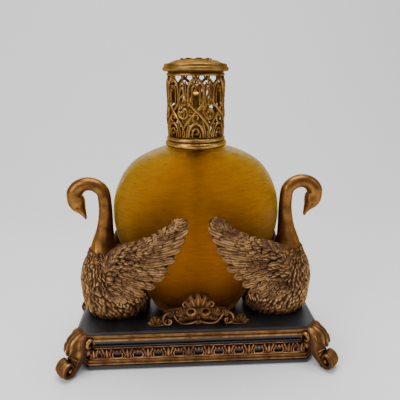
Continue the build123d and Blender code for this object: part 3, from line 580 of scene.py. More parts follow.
def add_swan_skin(sink, side):
    points, relief = [], []
    for i, row in enumerate(SWAN_CURVE):
        rise = row[1] - PLATE_TOP
        for j in range(SWAN_SEGMENTS):
            around = 2 * math.pi * j / SWAN_SEGMENTS
            p = swan_point(side, row, around)
            ripple = 0.0
            if i < 9 * SWAN_RINGS_PER_STATION and rise > 40:
                ripple = 0.16 * math.sin(9 * around + 0.35 * rise) * min(1, (rise - 40) / 8)
                ripple *= max(0.0, 1 - (rise - 48) / 22)
            p = p + ripple * unit(p - np.array((side * row[0], 0, p[2])))
            points.append(p)
            # painted shade: below the neck the skin gets a low relief, so it shows dark in the gaps between
            # feathers
            relief.append(0.72 + 1.2 * ripple if rise > 44 else 0.3)
    faces = tube_faces(len(SWAN_CURVE), SWAN_SEGMENTS)
    if side < 0:
        faces = [tuple(reversed(f)) for f in faces]
    sink.add(points, faces, relief)


def add_body_feathers(sink, side):
    """Overlapping feathers in staggered rows: short near the neck, long and ruffled near the plate."""
    rises = []
    rise = 3.0
    while rise < 52:
        rises.append(rise)
        rise += 3.1 - 0.018 * rise
    heights = SWAN_CURVE[:, 1] - PLATE_TOP
    for row_number, rise in enumerate(reversed(rises)):
        index = int(np.argmin(np.abs(heights[:FEATHERED_RINGS] - rise)))
        depth, length = SWAN_CURVE[index][3:]
        size = 7.4 - 0.075 * rise
        count = max(10, int(2 * math.pi * (depth + length) / 2 / (size * 0.52)))
        for k in range(count):
            around = 2 * math.pi * (k + 0.5 * (row_number % 2) + RNG.uniform(-0.2, 0.2)) / count
            root = swan_point(side, SWAN_CURVE[index], around)
            half_width, half_depth = flask_section(root[2])
            if math.hypot(root[0] / (half_width + FEATHER_GAP), root[1] / (half_depth + FEATHER_GAP)) < 1:
                continue
            n = swan_normal(side, index, around)
            back = np.array((-side, 0.0, 0.0))
            pull = 0.55 if rise < 30 else 0.25
            direction = np.array((0, 0, -1.0)) + pull * back
            direction = direction + np.array([RNG.uniform(-0.55, 0.55) for _ in "xyz"])
            direction = unit(direction - n * np.dot(direction, n))
            reach = size * RNG.uniform(0.85, 1.2)
            lift = RNG.uniform(0.5, 1.0)
            spine = []
            for s in range(5):
                q = s / 4
                off_skin = lift * math.sin(q * 2.2) - 0.9 * q * q * rise_curve(rise)
                p = root + direction * reach * q + n * off_skin
                p[2] = max(p[2], PLATE_TOP + 0.35)
                spine.append(p)
            add_blade(sink, spine, [n] * 5, size * RNG.uniform(0.5, 0.72), 0.45, 0.7, columns=6, grooves=1,
                      groove_depth=0.26)


def rise_curve(rise):
    """How strongly a feather's tip bends back to the skin at a height on the body."""
    return 0.6 + 0.02 * rise


def add_eyes(sink, side):
    """A low ring and pupil on each side of the head."""
    row = SWAN_CURVE[-int(4.3 * SWAN_RINGS_PER_STATION)]
    for around in (math.pi / 2, -math.pi / 2):
        centre = swan_point(side, row, around)
        outward = np.array((0, math.copysign(1, centre[1]), 0))
        ring = [centre + outward * 0.02 + 0.75 * np.array((math.cos(t), 0, math.sin(t)))
                for t in round_circle(14)]
        add_tube(sink, ring, 0.22, 6, closed=True, relief=0.9)
        pupil = [(0.02, 0.62), (0.3, 0.55), (0.5, 0.3), (0.5, 0.0), (0.02, 0.0)]
        add_lathe_at(sink, centre - outward * 0.2, outward, pupil, 12, 0.2)


def add_lathe_at(sink, centre, axis, profile, segments, relief):
    """A small turned shape of (radius, height) points on any axis."""
    axis = unit(np.array(axis, float))
    a = unit(np.cross(axis, (0.31, 0.52, 0.79)))
    b = np.cross(axis, a)
    local = Sink()
    add_lathe(local, profile, segments, relief)
    points = [centre + p[0] * a + p[1] * b + p[2] * axis for p in local.points]
    sink.add(points, local.faces, local.relief)


def make_swans():
    for name, side in SIDES.items():
        skin, feathers = Sink(), Sink()
        add_swan_skin(skin, side)
        add_eyes(skin, side)
        skin.build(f"swan_{name}_skin", COPPER_GOLD, "stand", [f"swan_{name}"], "antique_gold_resin")
        add_body_feathers(feathers, side)
        feathers.build(f"swan_{name}_feathers", PLUMAGE, "stand", (), "antique_gold_resin")


# ---------------------------------------------------------------- wings
WING_LO, WING_HI = box_mm("wing_right_front")
WING_LENGTH, WING_HEIGHT = WING_HI.x - WING_LO.x, WING_HI.z - WING_LO.z
WING_FACE_OUT = -WING_LO.y    # outer face at the tip
LEADING_EDGE = [              # shares of the wing's length from the tip and of its height, shoulder first
    (0.983, 0.36), (0.94, 0.49), (0.846, 0.59), (0.718, 0.655), (0.547, 0.70), (0.385, 0.765),
    (0.222, 0.865), (0.085, 0.965),
]
TRAILING_EDGE = [
    (0.007, 0.917), (0.017, 0.778), (0.109, 0.572), (0.239, 0.369), (0.40, 0.20), (0.598, 0.065),
    (0.786, 0.0), (0.933, 0.055),
]
WING_SKIN = 1.6
SKIN_SINK, SHOULDER_DROP = 2.6, 5.6


def wing_point(side, face, share_x, share_z, lift):
    """Point on a wing's curved mid surface, lifted outwards from the flask."""
    x = WING_LO.x + share_x * WING_LENGTH
    z = WING_LO.z + share_z * WING_HEIGHT
    out = WING_FACE_OUT - SKIN_SINK - SHOULDER_DROP * max(0.0, share_x) ** 2.8 + lift
    return np.array((side * x, face * out, z))


def wing_normal(side, face, share_x):
    """Outward normal of that surface."""
    slope = 2.8 * SHOULDER_DROP * max(0.0, share_x) ** 1.8 / WING_LENGTH
    return unit(np.array((side * slope, face, 0.0)))


LEADING = through(LEADING_EDGE, 8)
TRAILING = through(TRAILING_EDGE, 8)


def on_wing(across, down):
    """Plan position on the wing: across runs from the shoulder (0) to the tip (1), down from the top edge."""
    top = LEADING[int(round(min(max(across, 0), 1) * (len(LEADING) - 1)))]
    low = TRAILING[int(round((1 - min(max(across, 0), 1)) * (len(TRAILING) - 1)))]
    return top * (1 - down) + low * down


def add_wing_slab(sink, side, face):
    """The closed body of the wing, which the feathers lie on. Its inner face is fluted."""
    steps, drops = len(LEADING) - 1, 18
    outer, inner = [], []
    for i in range(steps + 1):
        for j in range(drops + 1):
            share = on_wing(i / steps, 0.02 + j / drops * 0.88)
            flute = 0.25 * math.sin(j / drops * math.pi * 16)
            edge = min(1.0, 3.0 * min(j / drops, 1 - j / drops) + 0.25)
            outer.append(wing_point(side, face, *share, 0.0))
            inner.append(wing_point(side, face, *share, -WING_SKIN * edge + flute))
    wide = drops + 1
    faces = []
    shift = len(outer)
    for i in range(steps):
        for j in range(drops):
            a = i * wide + j
            faces.append((a, a + 1, a + wide + 1, a + wide))
            faces.append((a + shift, a + shift + wide, a + shift + wide + 1, a + shift + 1))
    rim = list(range(wide)) + [i * wide + drops for i in range(1, steps + 1)]
    rim += [steps * wide + j for j in range(drops - 1, -1, -1)] + [i * wide for i in range(steps - 1, 0, -1)]
    for a, b in zip(rim, rim[1:] + rim[:1]):
        faces.append((b, a, a + shift, b + shift))
    if side * face > 0:
        faces = [tuple(reversed(f)) for f in faces]
    # painted shade: the slab's outer face, under the feathers, gets a low relief, so it shows dark between
    # them
    sink.add(outer + inner, faces, [0.2] * len(outer) + [0.45] * len(inner))


FEATHER_ROWS = [              # feathers, share of the midline at their start and end, width, lift at each
    (12, 0.42, 1.00, 6.8, 0.1, 1.0),
    (13, 0.24, 0.80, 6.0, 0.5, 1.6),
    (14, 0.08, 0.60, 5.2, 0.9, 2.0),
    (14, 0.00, 0.42, 4.6, 1.1, 2.3),
]
FEATHER_BEND = 0.07


def feather_line(spot):
    """Root, middle and tip of the flight feather whose tip is at a share of the trailing edge."""
    tip = TRAILING[int(round(spot * (len(TRAILING) - 1) * 0.93))]
    root = np.array((0.66, 0.68)) * (1 - spot) + np.array((1.0, 0.10)) * spot
    middle = (root + tip) / 2 - np.array((0.0, FEATHER_BEND * (1 - spot)))
    return root, middle, tip


def along_feather(line, q):
    root, middle, tip = line
    return root * (1 - q) ** 2 + 2 * middle * q * (1 - q) + tip * q * q


def add_long_feathers(sink, side, face):
    """Flight feathers and coverts: each row is shorter and lies on the one before."""
    for row_number, (count, start, stop, width, lift0, lift1) in enumerate(FEATHER_ROWS):
        for k in range(count):
            spot = (k + 0.5 * (row_number % 2)) / (count - 0.5)
            line = feather_line(min(max(spot + RNG.uniform(-0.012, 0.012), 0), 1))
            finish = min(stop + RNG.uniform(-0.03, 0.03), 1.02)
            ruffle = RNG.uniform(-0.2, 0.25)
            spine = []
            for s in range(9):
                q = s / 8
                share = along_feather(line, start + (finish - start) * q)
                wave = 0.18 * math.sin(9 * q + k)
                spine.append(wing_point(side, face, *share, lift0 + (lift1 + ruffle - lift0) * q + wave))
            normals = [wing_normal(side, face, 0.5)] * len(spine)
            add_blade(sink, spine, normals, width * RNG.uniform(0.88, 1.12), 0.6, 0.8, columns=10, grooves=3,
                      groove_depth=0.2)


def add_small_coverts(sink, side, face):
    """Small ruffled scales over the shoulder and along the arm, in staggered rows."""
    rows, columns = 15, 9
    for i in range(rows):
        for j in range(columns):
            across = (i + 0.5 * (j % 2)) / rows * 0.98 + RNG.uniform(-0.015, 0.015)
            reach_down = 0.80 - 0.66 * min(1.0, across / 0.75)
            down = (j + RNG.uniform(0.0, 0.5)) / columns * reach_down
            share = on_wing(across, down)
            root, _, tip = feather_line(min(max(down * 1.2, 0), 1))
            away = (tip - root) * (WING_LENGTH, WING_HEIGHT)
            turn = RNG.uniform(-0.5, 0.5)
            away = unit(np.array((away[0] * math.cos(turn) - away[1] * math.sin(turn),
                                  away[0] * math.sin(turn) + away[1] * math.cos(turn))))
            reach = RNG.uniform(4.2, 6.0) * away / (WING_LENGTH, WING_HEIGHT)
            height = RNG.uniform(1.7, 2.4)
            spine = []
            for s in range(5):
                q = s / 4
                lift = height + 1.2 * math.sin(q * 2.0) - 0.6 * q
                spine.append(wing_point(side, face, *(share + reach * q), lift))
            add_blade(sink, spine, [wing_normal(side, face, share[0])] * 5, RNG.uniform(3.0, 4.2), 1.0, 0.7,
                      columns=6, grooves=2, groove_depth=0.2)


def add_leading_edge(sink, side, face):
    """Rounded front edge with a ruff of short curls rolled over it, and a tuft at the tip."""
    path = [wing_point(side, face, *p, -0.4) for p in LEADING[:-3]]
    radii = np.interp(np.linspace(0, 1, len(path)), [0, 0.2, 0.7, 1], [2.2, 2.2, 1.7, 1.0])
    add_tube(sink, path, radii, 10, relief=0.3)
    count = 34
    for k in range(count):
        spot = (k + RNG.uniform(0.1, 0.6)) / count * (len(LEADING) - 4)
        start, ahead = LEADING[int(spot)], LEADING[int(spot) + 3]
        away = unit((ahead - start) * (WING_LENGTH, WING_HEIGHT))
        across = np.array((-away[1], away[0])) * (1 if away[0] < 0 else -1)
        for roll, drop in ((2.2, -2.4), (1.5, -0.7), (0.2, 0.3)):
            turn = RNG.uniform(-0.35, 0.7)
            heading = unit(away + turn * across * (-1 if drop < 0 else 1))
            spine = []
            for s in range(5):
                q = s / 4
                shift = heading * RNG.uniform(4.4, 5.0) * q - across * drop
                share = start + shift / (WING_LENGTH, WING_HEIGHT)
                spine.append(wing_point(side, face, *share, roll + 0.9 * math.sin(q * 2.6)))
            add_blade(sink, spine, [wing_normal(side, face, start[0])] * 5, RNG.uniform(2.6, 3.6), 0.9, 0.7,
                      columns=6, grooves=2, groove_depth=0.18)
    for k in range(7):
        a = math.radians(30 + 21 * k)
        heading = np.array((-math.cos(a) * 0.9, math.sin(a)))
        start = LEADING[-1] + np.array((0.03, -0.10))
        spine = [wing_point(side, face, *(start + heading * (1.5 + 5.4 * s / 4) / (WING_LENGTH, WING_HEIGHT)),
                            1.2 + 0.8 * math.sin(s / 4 * 2.6)) for s in range(5)]
        add_blade(sink, spine, [wing_normal(side, face, 0)] * 5, 3.8, 0.9, 0.7, columns=6, grooves=2)


def make_wings():
    """Each swan's two wings, one over each face of the flask."""
    for side_name, side in SIDES.items():
        for face_name, face in FACES.items():
            sink = Sink()
            add_wing_slab(sink, side, face)
            add_leading_edge(sink, side, face)
            add_long_feathers(sink, side, face)
            add_small_coverts(sink, side, face)
            sink.build(f"wing_{side_name}_{face_name}_plumage", PLUMAGE, "stand",
                       [f"wing_{side_name}_{face_name}"], "antique_gold_resin")


# ---------------------------------------------------------------- frieze
FRIEZE_LO, FRIEZE_HI = box_mm("frieze_front")
FRIEZE_SIDE_HI = top_corner("frieze_right")
FRIEZE_BOTTOM, FRIEZE_TOP = FRIEZE_LO.z, FRIEZE_HI.z
RECESS_PITCH, RECESS_WIDTH, RECESS_HEIGHT, RECESS_DEPTH = 14.3, 7.0, 4.9, 1.6
RECESS_MIDDLE = FRIEZE_BOTTOM + 3.6
RAIL_R = 0.8
POST_INSET = 3.4              # the last post's middle from the end of the frieze
FRIEZES = {                   # outward direction, face's distance from the middle, half length, compartments
    "front": ((0, -1, 0), -FRIEZE_LO.y, FRIEZE_HI.x, 11),
    "back": ((0, 1, 0), -FRIEZE_LO.y, FRIEZE_HI.x, 11),
    "left": ((-1, 0, 0), FRIEZE_SIDE_HI.x, FRIEZE_SIDE_HI.y, 3),
    "right": ((1, 0, 0), FRIEZE_SIDE_HI.x, FRIEZE_SIDE_HI.y, 3),
}


def add_box(sink, place, u0, u1, w0, w1, z0, z1, relief=0.3):
    """Box in a frieze's own directions."""
    points = [place(u, w, z) for u in (u0, u1) for w in (w0, w1) for z in (z0, z1)]
    faces = [(0, 1, 3, 2), (4, 6, 7, 5), (0, 4, 5, 1), (2, 3, 7, 6), (0, 2, 6, 4), (1, 5, 7, 3)]
    sink.add(points, faces, relief)


def frieze_place(outward, distance):
    out = np.array(outward, float)
    along = np.array((-out[1], out[0], 0.0))
    return lambda u, w, z: along * u + out * (distance + w) + np.array((0, 0, z))


def add_compartment(sink, place, out, u):
    """Gilt frame round a black recess, with three small leaves above it."""
    loop = []
    for k in range(24):
        a = 2 * math.pi * k / 24
        c, s = math.cos(a), math.sin(a)
        loop.append(place(u + math.copysign(abs(c) ** 0.5, c) * RECESS_WIDTH / 2, -0.35,
                          RECESS_MIDDLE + math.copysign(abs(s) ** 0.5, s) * RECESS_HEIGHT / 2))
    add_tube(sink, loop, 0.5, 6, closed=True, relief=0.8)
    for k in (-1, 0, 1):
        add_leaf(sink, place, out, u + k * 2.3, RECESS_MIDDLE + RECESS_HEIGHT / 2 - 0.5, 3.0, 2.5,
                 lift=0.3 if k else 0.6)


def add_leaf(sink, place, out, u, z, height, width, lift=0.5, tilt=0.0):
    """Small upright leaf whose tip curls outwards."""
    spine = []
    for s in range(6):
        q = s / 5
        spine.append(place(u + tilt * q * q, -0.9 + lift + 1.1 * math.sin(q * 2.0), z + height * q))
    add_blade(sink, spine, [np.array(out, float)] * 6, width, 0.7, 0.55, columns=6, grooves=1,
              shape=leaf_outline, groove_depth=0.2)


def add_post(sink, place, out, u):
    """Acanthus between two recesses: a tall leaf, two side leaves and a scroll at each foot."""
    add_leaf(sink, place, out, u, FRIEZE_BOTTOM + 1.4, FRIEZE_TOP - FRIEZE_BOTTOM - 1.7, 3.3, 0.9)
    for turn in (-1, 1):
        add_leaf(sink, place, out, u + turn * 1.5, FRIEZE_BOTTOM + 2.6, 6.0, 2.6, 0.5, tilt=turn * 1.6)
        add_leaf(sink, place, out, u + turn * 2.9, FRIEZE_TOP - 3.6, 3.4, 2.6, 0.3, tilt=turn * 0.6)
        curl = []
        for k in range(14):
            a = k / 13 * 1.6 * math.pi
            r = 1.15 * (1 - 0.55 * k / 13)
            z = FRIEZE_BOTTOM + 2.2 + r * math.sin(a)
            curl.append(place(u + turn * (1.7 - r * math.cos(a)), -0.2, z))
        add_tube(sink, curl, np.linspace(0.5, 0.3, 14), 6, relief=0.8)


def make_friezes():
    """Four friezes: a black ground behind gilt compartments, posts, rails and bands."""
    for name, (out, distance, half, count) in FRIEZES.items():
        place = frieze_place(out, distance)
        panel, relief = Sink(), Sink()
        add_box(panel, place, -half, half, -4.0, -RECESS_DEPTH, FRIEZE_BOTTOM, FRIEZE_TOP)
        panel.build(f"frieze_{name}_ground", BLACK, "stand", [f"frieze_{name}"], "black_lacquer",
                    smooth=False)
        first = -(count - 1) / 2 * RECESS_PITCH
        for i in range(count):
            add_compartment(relief, place, out, first + i * RECESS_PITCH)
        for i in range(count + 1):
            u = first + (i - 0.5) * RECESS_PITCH
            add_post(relief, place, out, min(max(u, -half + POST_INSET), half - POST_INSET))
        for z, radius in ((FRIEZE_BOTTOM + 0.75, RAIL_R), (FRIEZE_TOP - 0.45, 0.45)):
            rail = [place(u, -0.55, z) for u in np.linspace(-half, half, 24)]
            add_tube(relief, rail, radius, 8, relief=0.75)
        add_box(relief, place, -half, half, -RECESS_DEPTH - 0.1, -0.9, FRIEZE_TOP - 3.4,
                FRIEZE_TOP - 0.3, 0.15)
        for i in range(count + 1):
            u = min(max(first + (i - 0.5) * RECESS_PITCH, -half + POST_INSET), half - POST_INSET)
            wide = (RECESS_PITCH - RECESS_WIDTH) / 2 - 0.1
            add_box(relief, place, u - wide, u + wide, -RECESS_DEPTH - 0.1, -0.8, FRIEZE_BOTTOM + 0.2,
                    FRIEZE_TOP - 3.0, 0.15)
        relief.build(f"frieze_{name}_relief", GOLD, "stand", (), "antique_gold_resin")


# ---------------------------------------------------------------- mouldings
CANT = 8.0                    # cut-off corner of the plinth


def arc(centre, radius, start, stop, steps=10, squeeze=1.0):
    """Points of a profile along an arc, angles in degrees from outwards, anticlockwise."""
    return [(centre[0] + radius * math.cos(a), centre[1] + squeeze * radius * math.sin(a))
            for a in map(math.radians, np.linspace(start, stop, steps))]


def plinth_corners(grow):
    """Corners of the plinth's outline, grown evenly outwards, anticlockwise from the right front."""
    slant = CANT - grow * (math.sqrt(2) - 1)
    w, d = HALF_WIDTH + grow, HALF_DEPTH + grow
    inner_w, inner_d = HALF_WIDTH - slant, HALF_DEPTH - slant
    return [(w, -inner_d), (w, inner_d), (inner_w, d), (-inner_w, d),
            (-w, inner_d), (-w, -inner_d), (-inner_w, -d), (inner_w, -d)]


def add_band(sink, profile):
    """Sweeps a closed profile of (out from the plate's edge, height, relief) round the plinth, mitred."""
    rings = [plinth_corners(out) for out, _, _ in profile]
    points, relief, stations = [], [], 0
    for k in range(8):
        length = math.dist(rings[0][k], rings[0][(k + 1) % 8])
        for t in (0.0, 0.3 / length, 0.25, 0.5, 0.75, 1 - 0.3 / length):
            stations += 1
            for (out, z, value), ring in zip(profile, rings):
                a, b = ring[k], ring[(k + 1) % 8]
                points.append((a[0] + (b[0] - a[0]) * t, a[1] + (b[1] - a[1]) * t, z))
                relief.append(value)
    count = len(profile)
    faces = []
    for i in range(stations):
        for j in range(count):
            a, b = i * count + j, (i + 1) % stations * count + j
            faces.append((a, b, (i + 1) % stations * count + (j + 1) % count, i * count + (j + 1) % count))
    sink.add(points, faces, relief)


def beads(rows):
    """Profile of a stack of beads, each given as (centre out, centre height, radius)."""
    profile = []
    for out, z, radius in rows:
        for x, y in arc((out, z), radius, -68, 68, 9):
            profile.append((x, y, 0.15 + 0.8 * ((x - out) / radius) ** 3))
    return profile


def make_mouldings():
    for name, rows in (("upper_moulding", [(0.1, 1.55, 1.45), (0.05, 3.45, 0.75), (0.3, 4.65, 0.75)]),
                       ("lower_moulding", [(0.6, 1.1, 1.1), (0.3, 2.5, 0.6), (0.2, 3.5, 0.7)])):
        lo, hi = box_mm(name)
        profile = [(-1.6, lo.z, 0.1), (0.0, lo.z, 0.2)]
        profile += beads([(out, lo.z + up, radius) for out, up, radius in rows])
        profile += [(0.0, hi.z, 0.3), (-1.6, hi.z, 0.1)]
        sink = Sink()
        add_band(sink, profile)
        sink.build(f"{name}_beads", DULL_GOLD, "stand", [name], "antique_gold_resin")


# ---------------------------------------------------------------- feet
FELT_HI = top_corner("foot_felts")
CORNER = np.array((HALF_WIDTH - CANT / 2, HALF_DEPTH - CANT / 2, 0.0))
FOOT_STATIONS = [             # out along the diagonal, height, half thickness, half width, leaf top to volute
    (-0.6, 29.0, 1.0, 5.4),
    (0.4, 27.6, 1.8, 5.9),
    (3.6, 26.2, 3.6, 7.2),
    (6.6, 23.2, 5.2, 8.2),
    (7.0, 19.0, 5.6, 7.8),
    (6.2, 14.6, 5.2, 6.6),
    (6.4, 10.8, 4.4, 5.6),
    (8.6, 7.2, 3.4, 5.4),
    (12.0, 4.4, 2.5, 5.8),
    (15.2, 2.9, 2.0, 6.2),
    (18.2, 4.2, 1.8, 6.4),
    (19.4, 7.4, 1.7, 6.3),
    (18.0, 10.8, 1.6, 6.0),
    (14.9, 11.6, 1.5, 5.6),
    (13.0, 9.3, 1.3, 5.2),
    (13.9, 6.9, 1.1, 4.9),
    (15.9, 6.9, 0.9, 4.7),
]
FOOT_SPAN = 6
WRAP_START, WRAP = 3.0, 0.8   # where the foot starts to bend back round the corner, and how far it does
SHELL_RIDGES = (-6.6, -3.5, 0.0, 3.5, 6.6)
WAIST_LOBES = 4


def foot_place(sx, sy):
    """Maps (out along the diagonal, across it, height) to the lamp's axes."""
    out = unit(np.array((sx, sy, 0.0)))
    across = np.array((-out[1], out[0], 0.0))
    origin = CORNER * (sx, sy, 1)

    def place(d, c, z):
        wrap = WRAP * max(0.0, abs(c) - WRAP_START) * min(1.0, max(0.0, (z - 6) / 8))
        return origin + out * (d - wrap) + across * c + np.array((0, 0, z))
    return out, across, place


def add_leg(sink, place):
    """Fluted strap that swells at the knee, narrows at the waist and rolls up into a volute."""
    curve = through(FOOT_STATIONS, FOOT_SPAN)
    sides = 32
    points, relief = [], []
    for i, (d, z, thick, half) in enumerate(curve):
        ahead, behind = curve[min(i + 1, len(curve) - 1)], curve[max(i - 1, 0)]
        t = unit(np.array((ahead[0] - behind[0], ahead[1] - behind[1])))
        n = np.array((t[1], -t[0]))
        for j in range(sides):
            a = 2 * math.pi * j / sides
            c, s = math.cos(a), math.sin(a)
            flute = 0.3 * math.cos(5 * math.pi * c) * min(1.0, thick / 2)
            lift = math.copysign(abs(s) ** 0.75, s) * (thick + flute)
            p = place(d - n[0] * lift, c * half, max(z - n[1] * lift, FELT_HI.z + 0.05))
            points.append(p)
            relief.append(0.5 + 1.2 * flute)
    sink.add(points, tube_faces(len(curve), sides), relief)


def knee_point(place, c, z, lift):
    """Point on the outside of the knee at a height."""
    outs, heights, thicks, halves = zip(*FOOT_STATIONS[5:0:-1])
    d = np.interp(z, heights, outs)
    thick = np.interp(z, heights, thicks)
    half = np.interp(z, heights, halves)
    round_off = thick * math.sqrt(max(0.05, 1 - min(0.97, abs(c) / (half + 1.0)) ** 2))
    return place(d + round_off + lift, c, z)


def add_foot_leaves(sink, place, out, across):
    """Shell ridges over the knee, an ear-shaped curl on each flank and lobes down to the waist."""
    up = np.array((0, 0, 1.0))
    for c in SHELL_RIDGES:
        spine, normals = [], []
        for s in range(9):
            q = s / 8
            z = 28.2 - (12.4 - 0.5 * abs(c)) * q
            curl = 1.5 * max(0.0, q - 0.7) / 0.3
            spine.append(knee_point(place, c * (0.55 + 0.45 * math.sin(q * 2.2)), z, -0.2 + 0.5 * q + curl))
            normals.append(unit(out + across * c * 0.09 + up * (0.7 - q)))
        add_blade(sink, spine, normals, 3.7, 1.2, 1.3, columns=8, grooves=1, shape=leaf_outline,
                  groove_depth=0.3)
    for turn in (-1, 1):
        for k in range(WAIST_LOBES):
            z = 15.6 - 2.9 * k
            size = 4.4 - 0.4 * k
            spine, normals = [], []
            for s in range(6):
                q = s / 5
                spine.append(knee_point(place, turn * (1.6 + size * 0.9 * q), max(z - size * 0.8 * q, 9.6),
                                        0.1 + 0.5 * q))
                normals.append(unit(out + across * turn * 0.5))
            add_blade(sink, spine, normals, 3.2, 0.9, 0.8, columns=6, grooves=1, shape=leaf_outline,
                      groove_depth=0.25)
        ear = []
        for k in range(30):
            q = k / 29
            a = math.pi * (1.15 - 1.75 * q)
            r = 3.6 * (1 - 0.5 * q)
            ear.append(place(2.6 + r * math.cos(a) + 2.2, turn * (8.3 + 0.5 * math.sin(math.pi * q)),
                             22.2 + r * 1.1 * math.sin(a)))
        add_tube(sink, ear, np.interp(np.linspace(0, 1, 30), [0, 0.4, 1], [0.7, 1.5, 0.9]), 10, relief=0.9)
        lobe = [place(5.0 + 1.2 * q, turn * (8.2 - 0.6 * q), 18.6 - 5.4 * q) for q in np.linspace(0, 1, 6)]
        add_blade(sink, lobe, [unit(across * turn + out * 0.4)] * 6, 4.4, 1.0, 0.9, columns=6, grooves=1,
                  shape=leaf_outline, groove_depth=0.3)
        eye = place(15.6, turn * 5.4, 7.8)
        knob = [(0.02, 0.9), (0.9, 0.75), (1.5, 0.2), (1.5, -0.6), (0.02, -0.6)]
        add_lathe_at(sink, eye, across * turn, knob, 16, 0.8)


def make_feet():
    """A foot on each cut corner of the plinth."""
    for sy_name, sy in FACES.items():
        for sx_name, sx in SIDES.items():
            out, across, place = foot_place(sx, sy)
            sink = Sink()
            add_leg(sink, place)
            add_foot_leaves(sink, place, out, across)
            sink.build(f"foot_{sy_name}_{sx_name}_scroll", DULL_GOLD, "stand", [f"foot_{sy_name}_{sx_name}"],
                       "antique_gold_resin")


# ---------------------------------------------------------------- cartouche
CREST_FACE = box_mm("cartouche")[0].y         # front plane of the crest
EYE_X, EYE_RISE = 5.2, 11.6
CREST_DOMES = [               # from the middle, above the plate, half width, half height, swell
    (0.0, 19.0, 3.4, 6.4, 1.6),
    (4.4, 18.6, 3.4, 5.2, 1.4),
    (7.4, 16.0, 2.6, 3.6, 1.1),
    (0.0, 11.4, 2.4, 5.2, 1.8),
    (6.0, 5.8, 5.6, 2.5, 1.3),
    (12.4, 9.0, 6.2, 5.0, 1.4),
    (17.4, 9.6, 4.6, 3.6, 1.0),
    (24.6, 4.4, 3.6, 2.0, 0.9),
    (30.6, 4.2, 3.4, 3.2, 1.2),
    (0.0, 3.0, 2.6, 2.3, 1.5),
]
SHELL_LOBES = [               # foot and tip (from the middle, above the plate) and width of each lobe
    ((0.0, 14.6), (0.0, 26.4), 5.4),
    ((2.2, 14.8), (5.4, 24.2), 4.8),
    ((4.6, 14.6), (9.2, 20.6), 4.0),
]
CREST_FANS = [                # middle, first angle, last angle, leaves, length, width
    ((10.4, 8.4), 112, 22, 6, 7.0, 3.0),
    ((11.0, 8.0), 200, 320, 5, 4.2, 2.6),
    ((18.0, 8.4), 100, 20, 4, 5.0, 2.8),
    ((30.4, 2.6), 160, 20, 5, 5.6, 2.9),
    ((24.6, 3.0), 130, 50, 3, 3.6, 2.4),
]
CREST_SCROLLS = [             # path of each scroll, radius at its start and end
    ([(13.0, 3.6), (15.4, 5.6), (16.8, 8.6), (19.4, 10.8), (22.6, 10.2), (24.6, 7.2), (24.2, 3.6),
      (21.8, 1.6), (19.4, 2.6), (19.2, 5.0), (21.0, 5.8)], 0.9, 0.8),
    ([(23.4, 2.0), (26.4, 1.3), (30.0, 1.2), (33.4, 1.6), (34.8, 3.4)], 0.9, 0.6),
    ([(1.8, 3.4), (4.4, 2.4), (8.4, 2.0), (12.4, 2.8), (15.6, 5.4)], 0.8, 0.7),
    ([(8.6, 15.2), (10.6, 16.8), (10.2, 19.0), (8.4, 19.0), (8.4, 17.4)], 0.8, 0.5),
]


def crest_point(x, rise, lift):
    return np.array((x, CREST_FACE + 1.2 - lift, PLATE_TOP + rise))


def add_crest_leaf(sink, foot, tip, width, lift):
    """Fluted lobe in the crest's plane that swells forwards."""
    spine = []
    for s in range(6):
        q = s / 5
        x, rise = foot[0] + (tip[0] - foot[0]) * q, foot[1] + (tip[1] - foot[1]) * q
        spine.append(crest_point(x, rise, lift + 1.1 * math.sin(q * 2.6)))
    add_blade(sink, spine, [np.array((0, -1.0, 0))] * 6, width, 1.6, 0.9, columns=8, grooves=2,
              shape=leaf_outline, groove_depth=0.3)


def add_dome(sink, x, rise, half_width, half_height, swell):
    """Rounded cushion in the crest's plane that the leaves lie on."""
    rings, sides = 7, 28
    points, relief = [], []
    for i in range(rings):
        q = i / (rings - 1)
        size, lift = math.cos(q * math.pi / 2) + 0.02, swell * math.sin(q * math.pi / 2)
        for j in range(sides):
            a = 2 * math.pi * j / sides
            points.append(crest_point(x + half_width * size * math.cos(a),
                                      rise + half_height * size * math.sin(a), lift - 0.8))
            relief.append(0.25 + 0.2 * q)
    for j in range(sides):
        a = 2 * math.pi * j / sides
        points.append(crest_point(x + half_width * math.cos(a), rise + half_height * math.sin(a), -2.0))
        relief.append(0.1)
    order = [rings] + list(range(rings))
    points = [points[k * sides + j] for k in order for j in range(sides)]
    relief = [relief[k * sides + j] for k in order for j in range(sides)]
    sink.add(points, tube_faces(rings + 1, sides), relief)


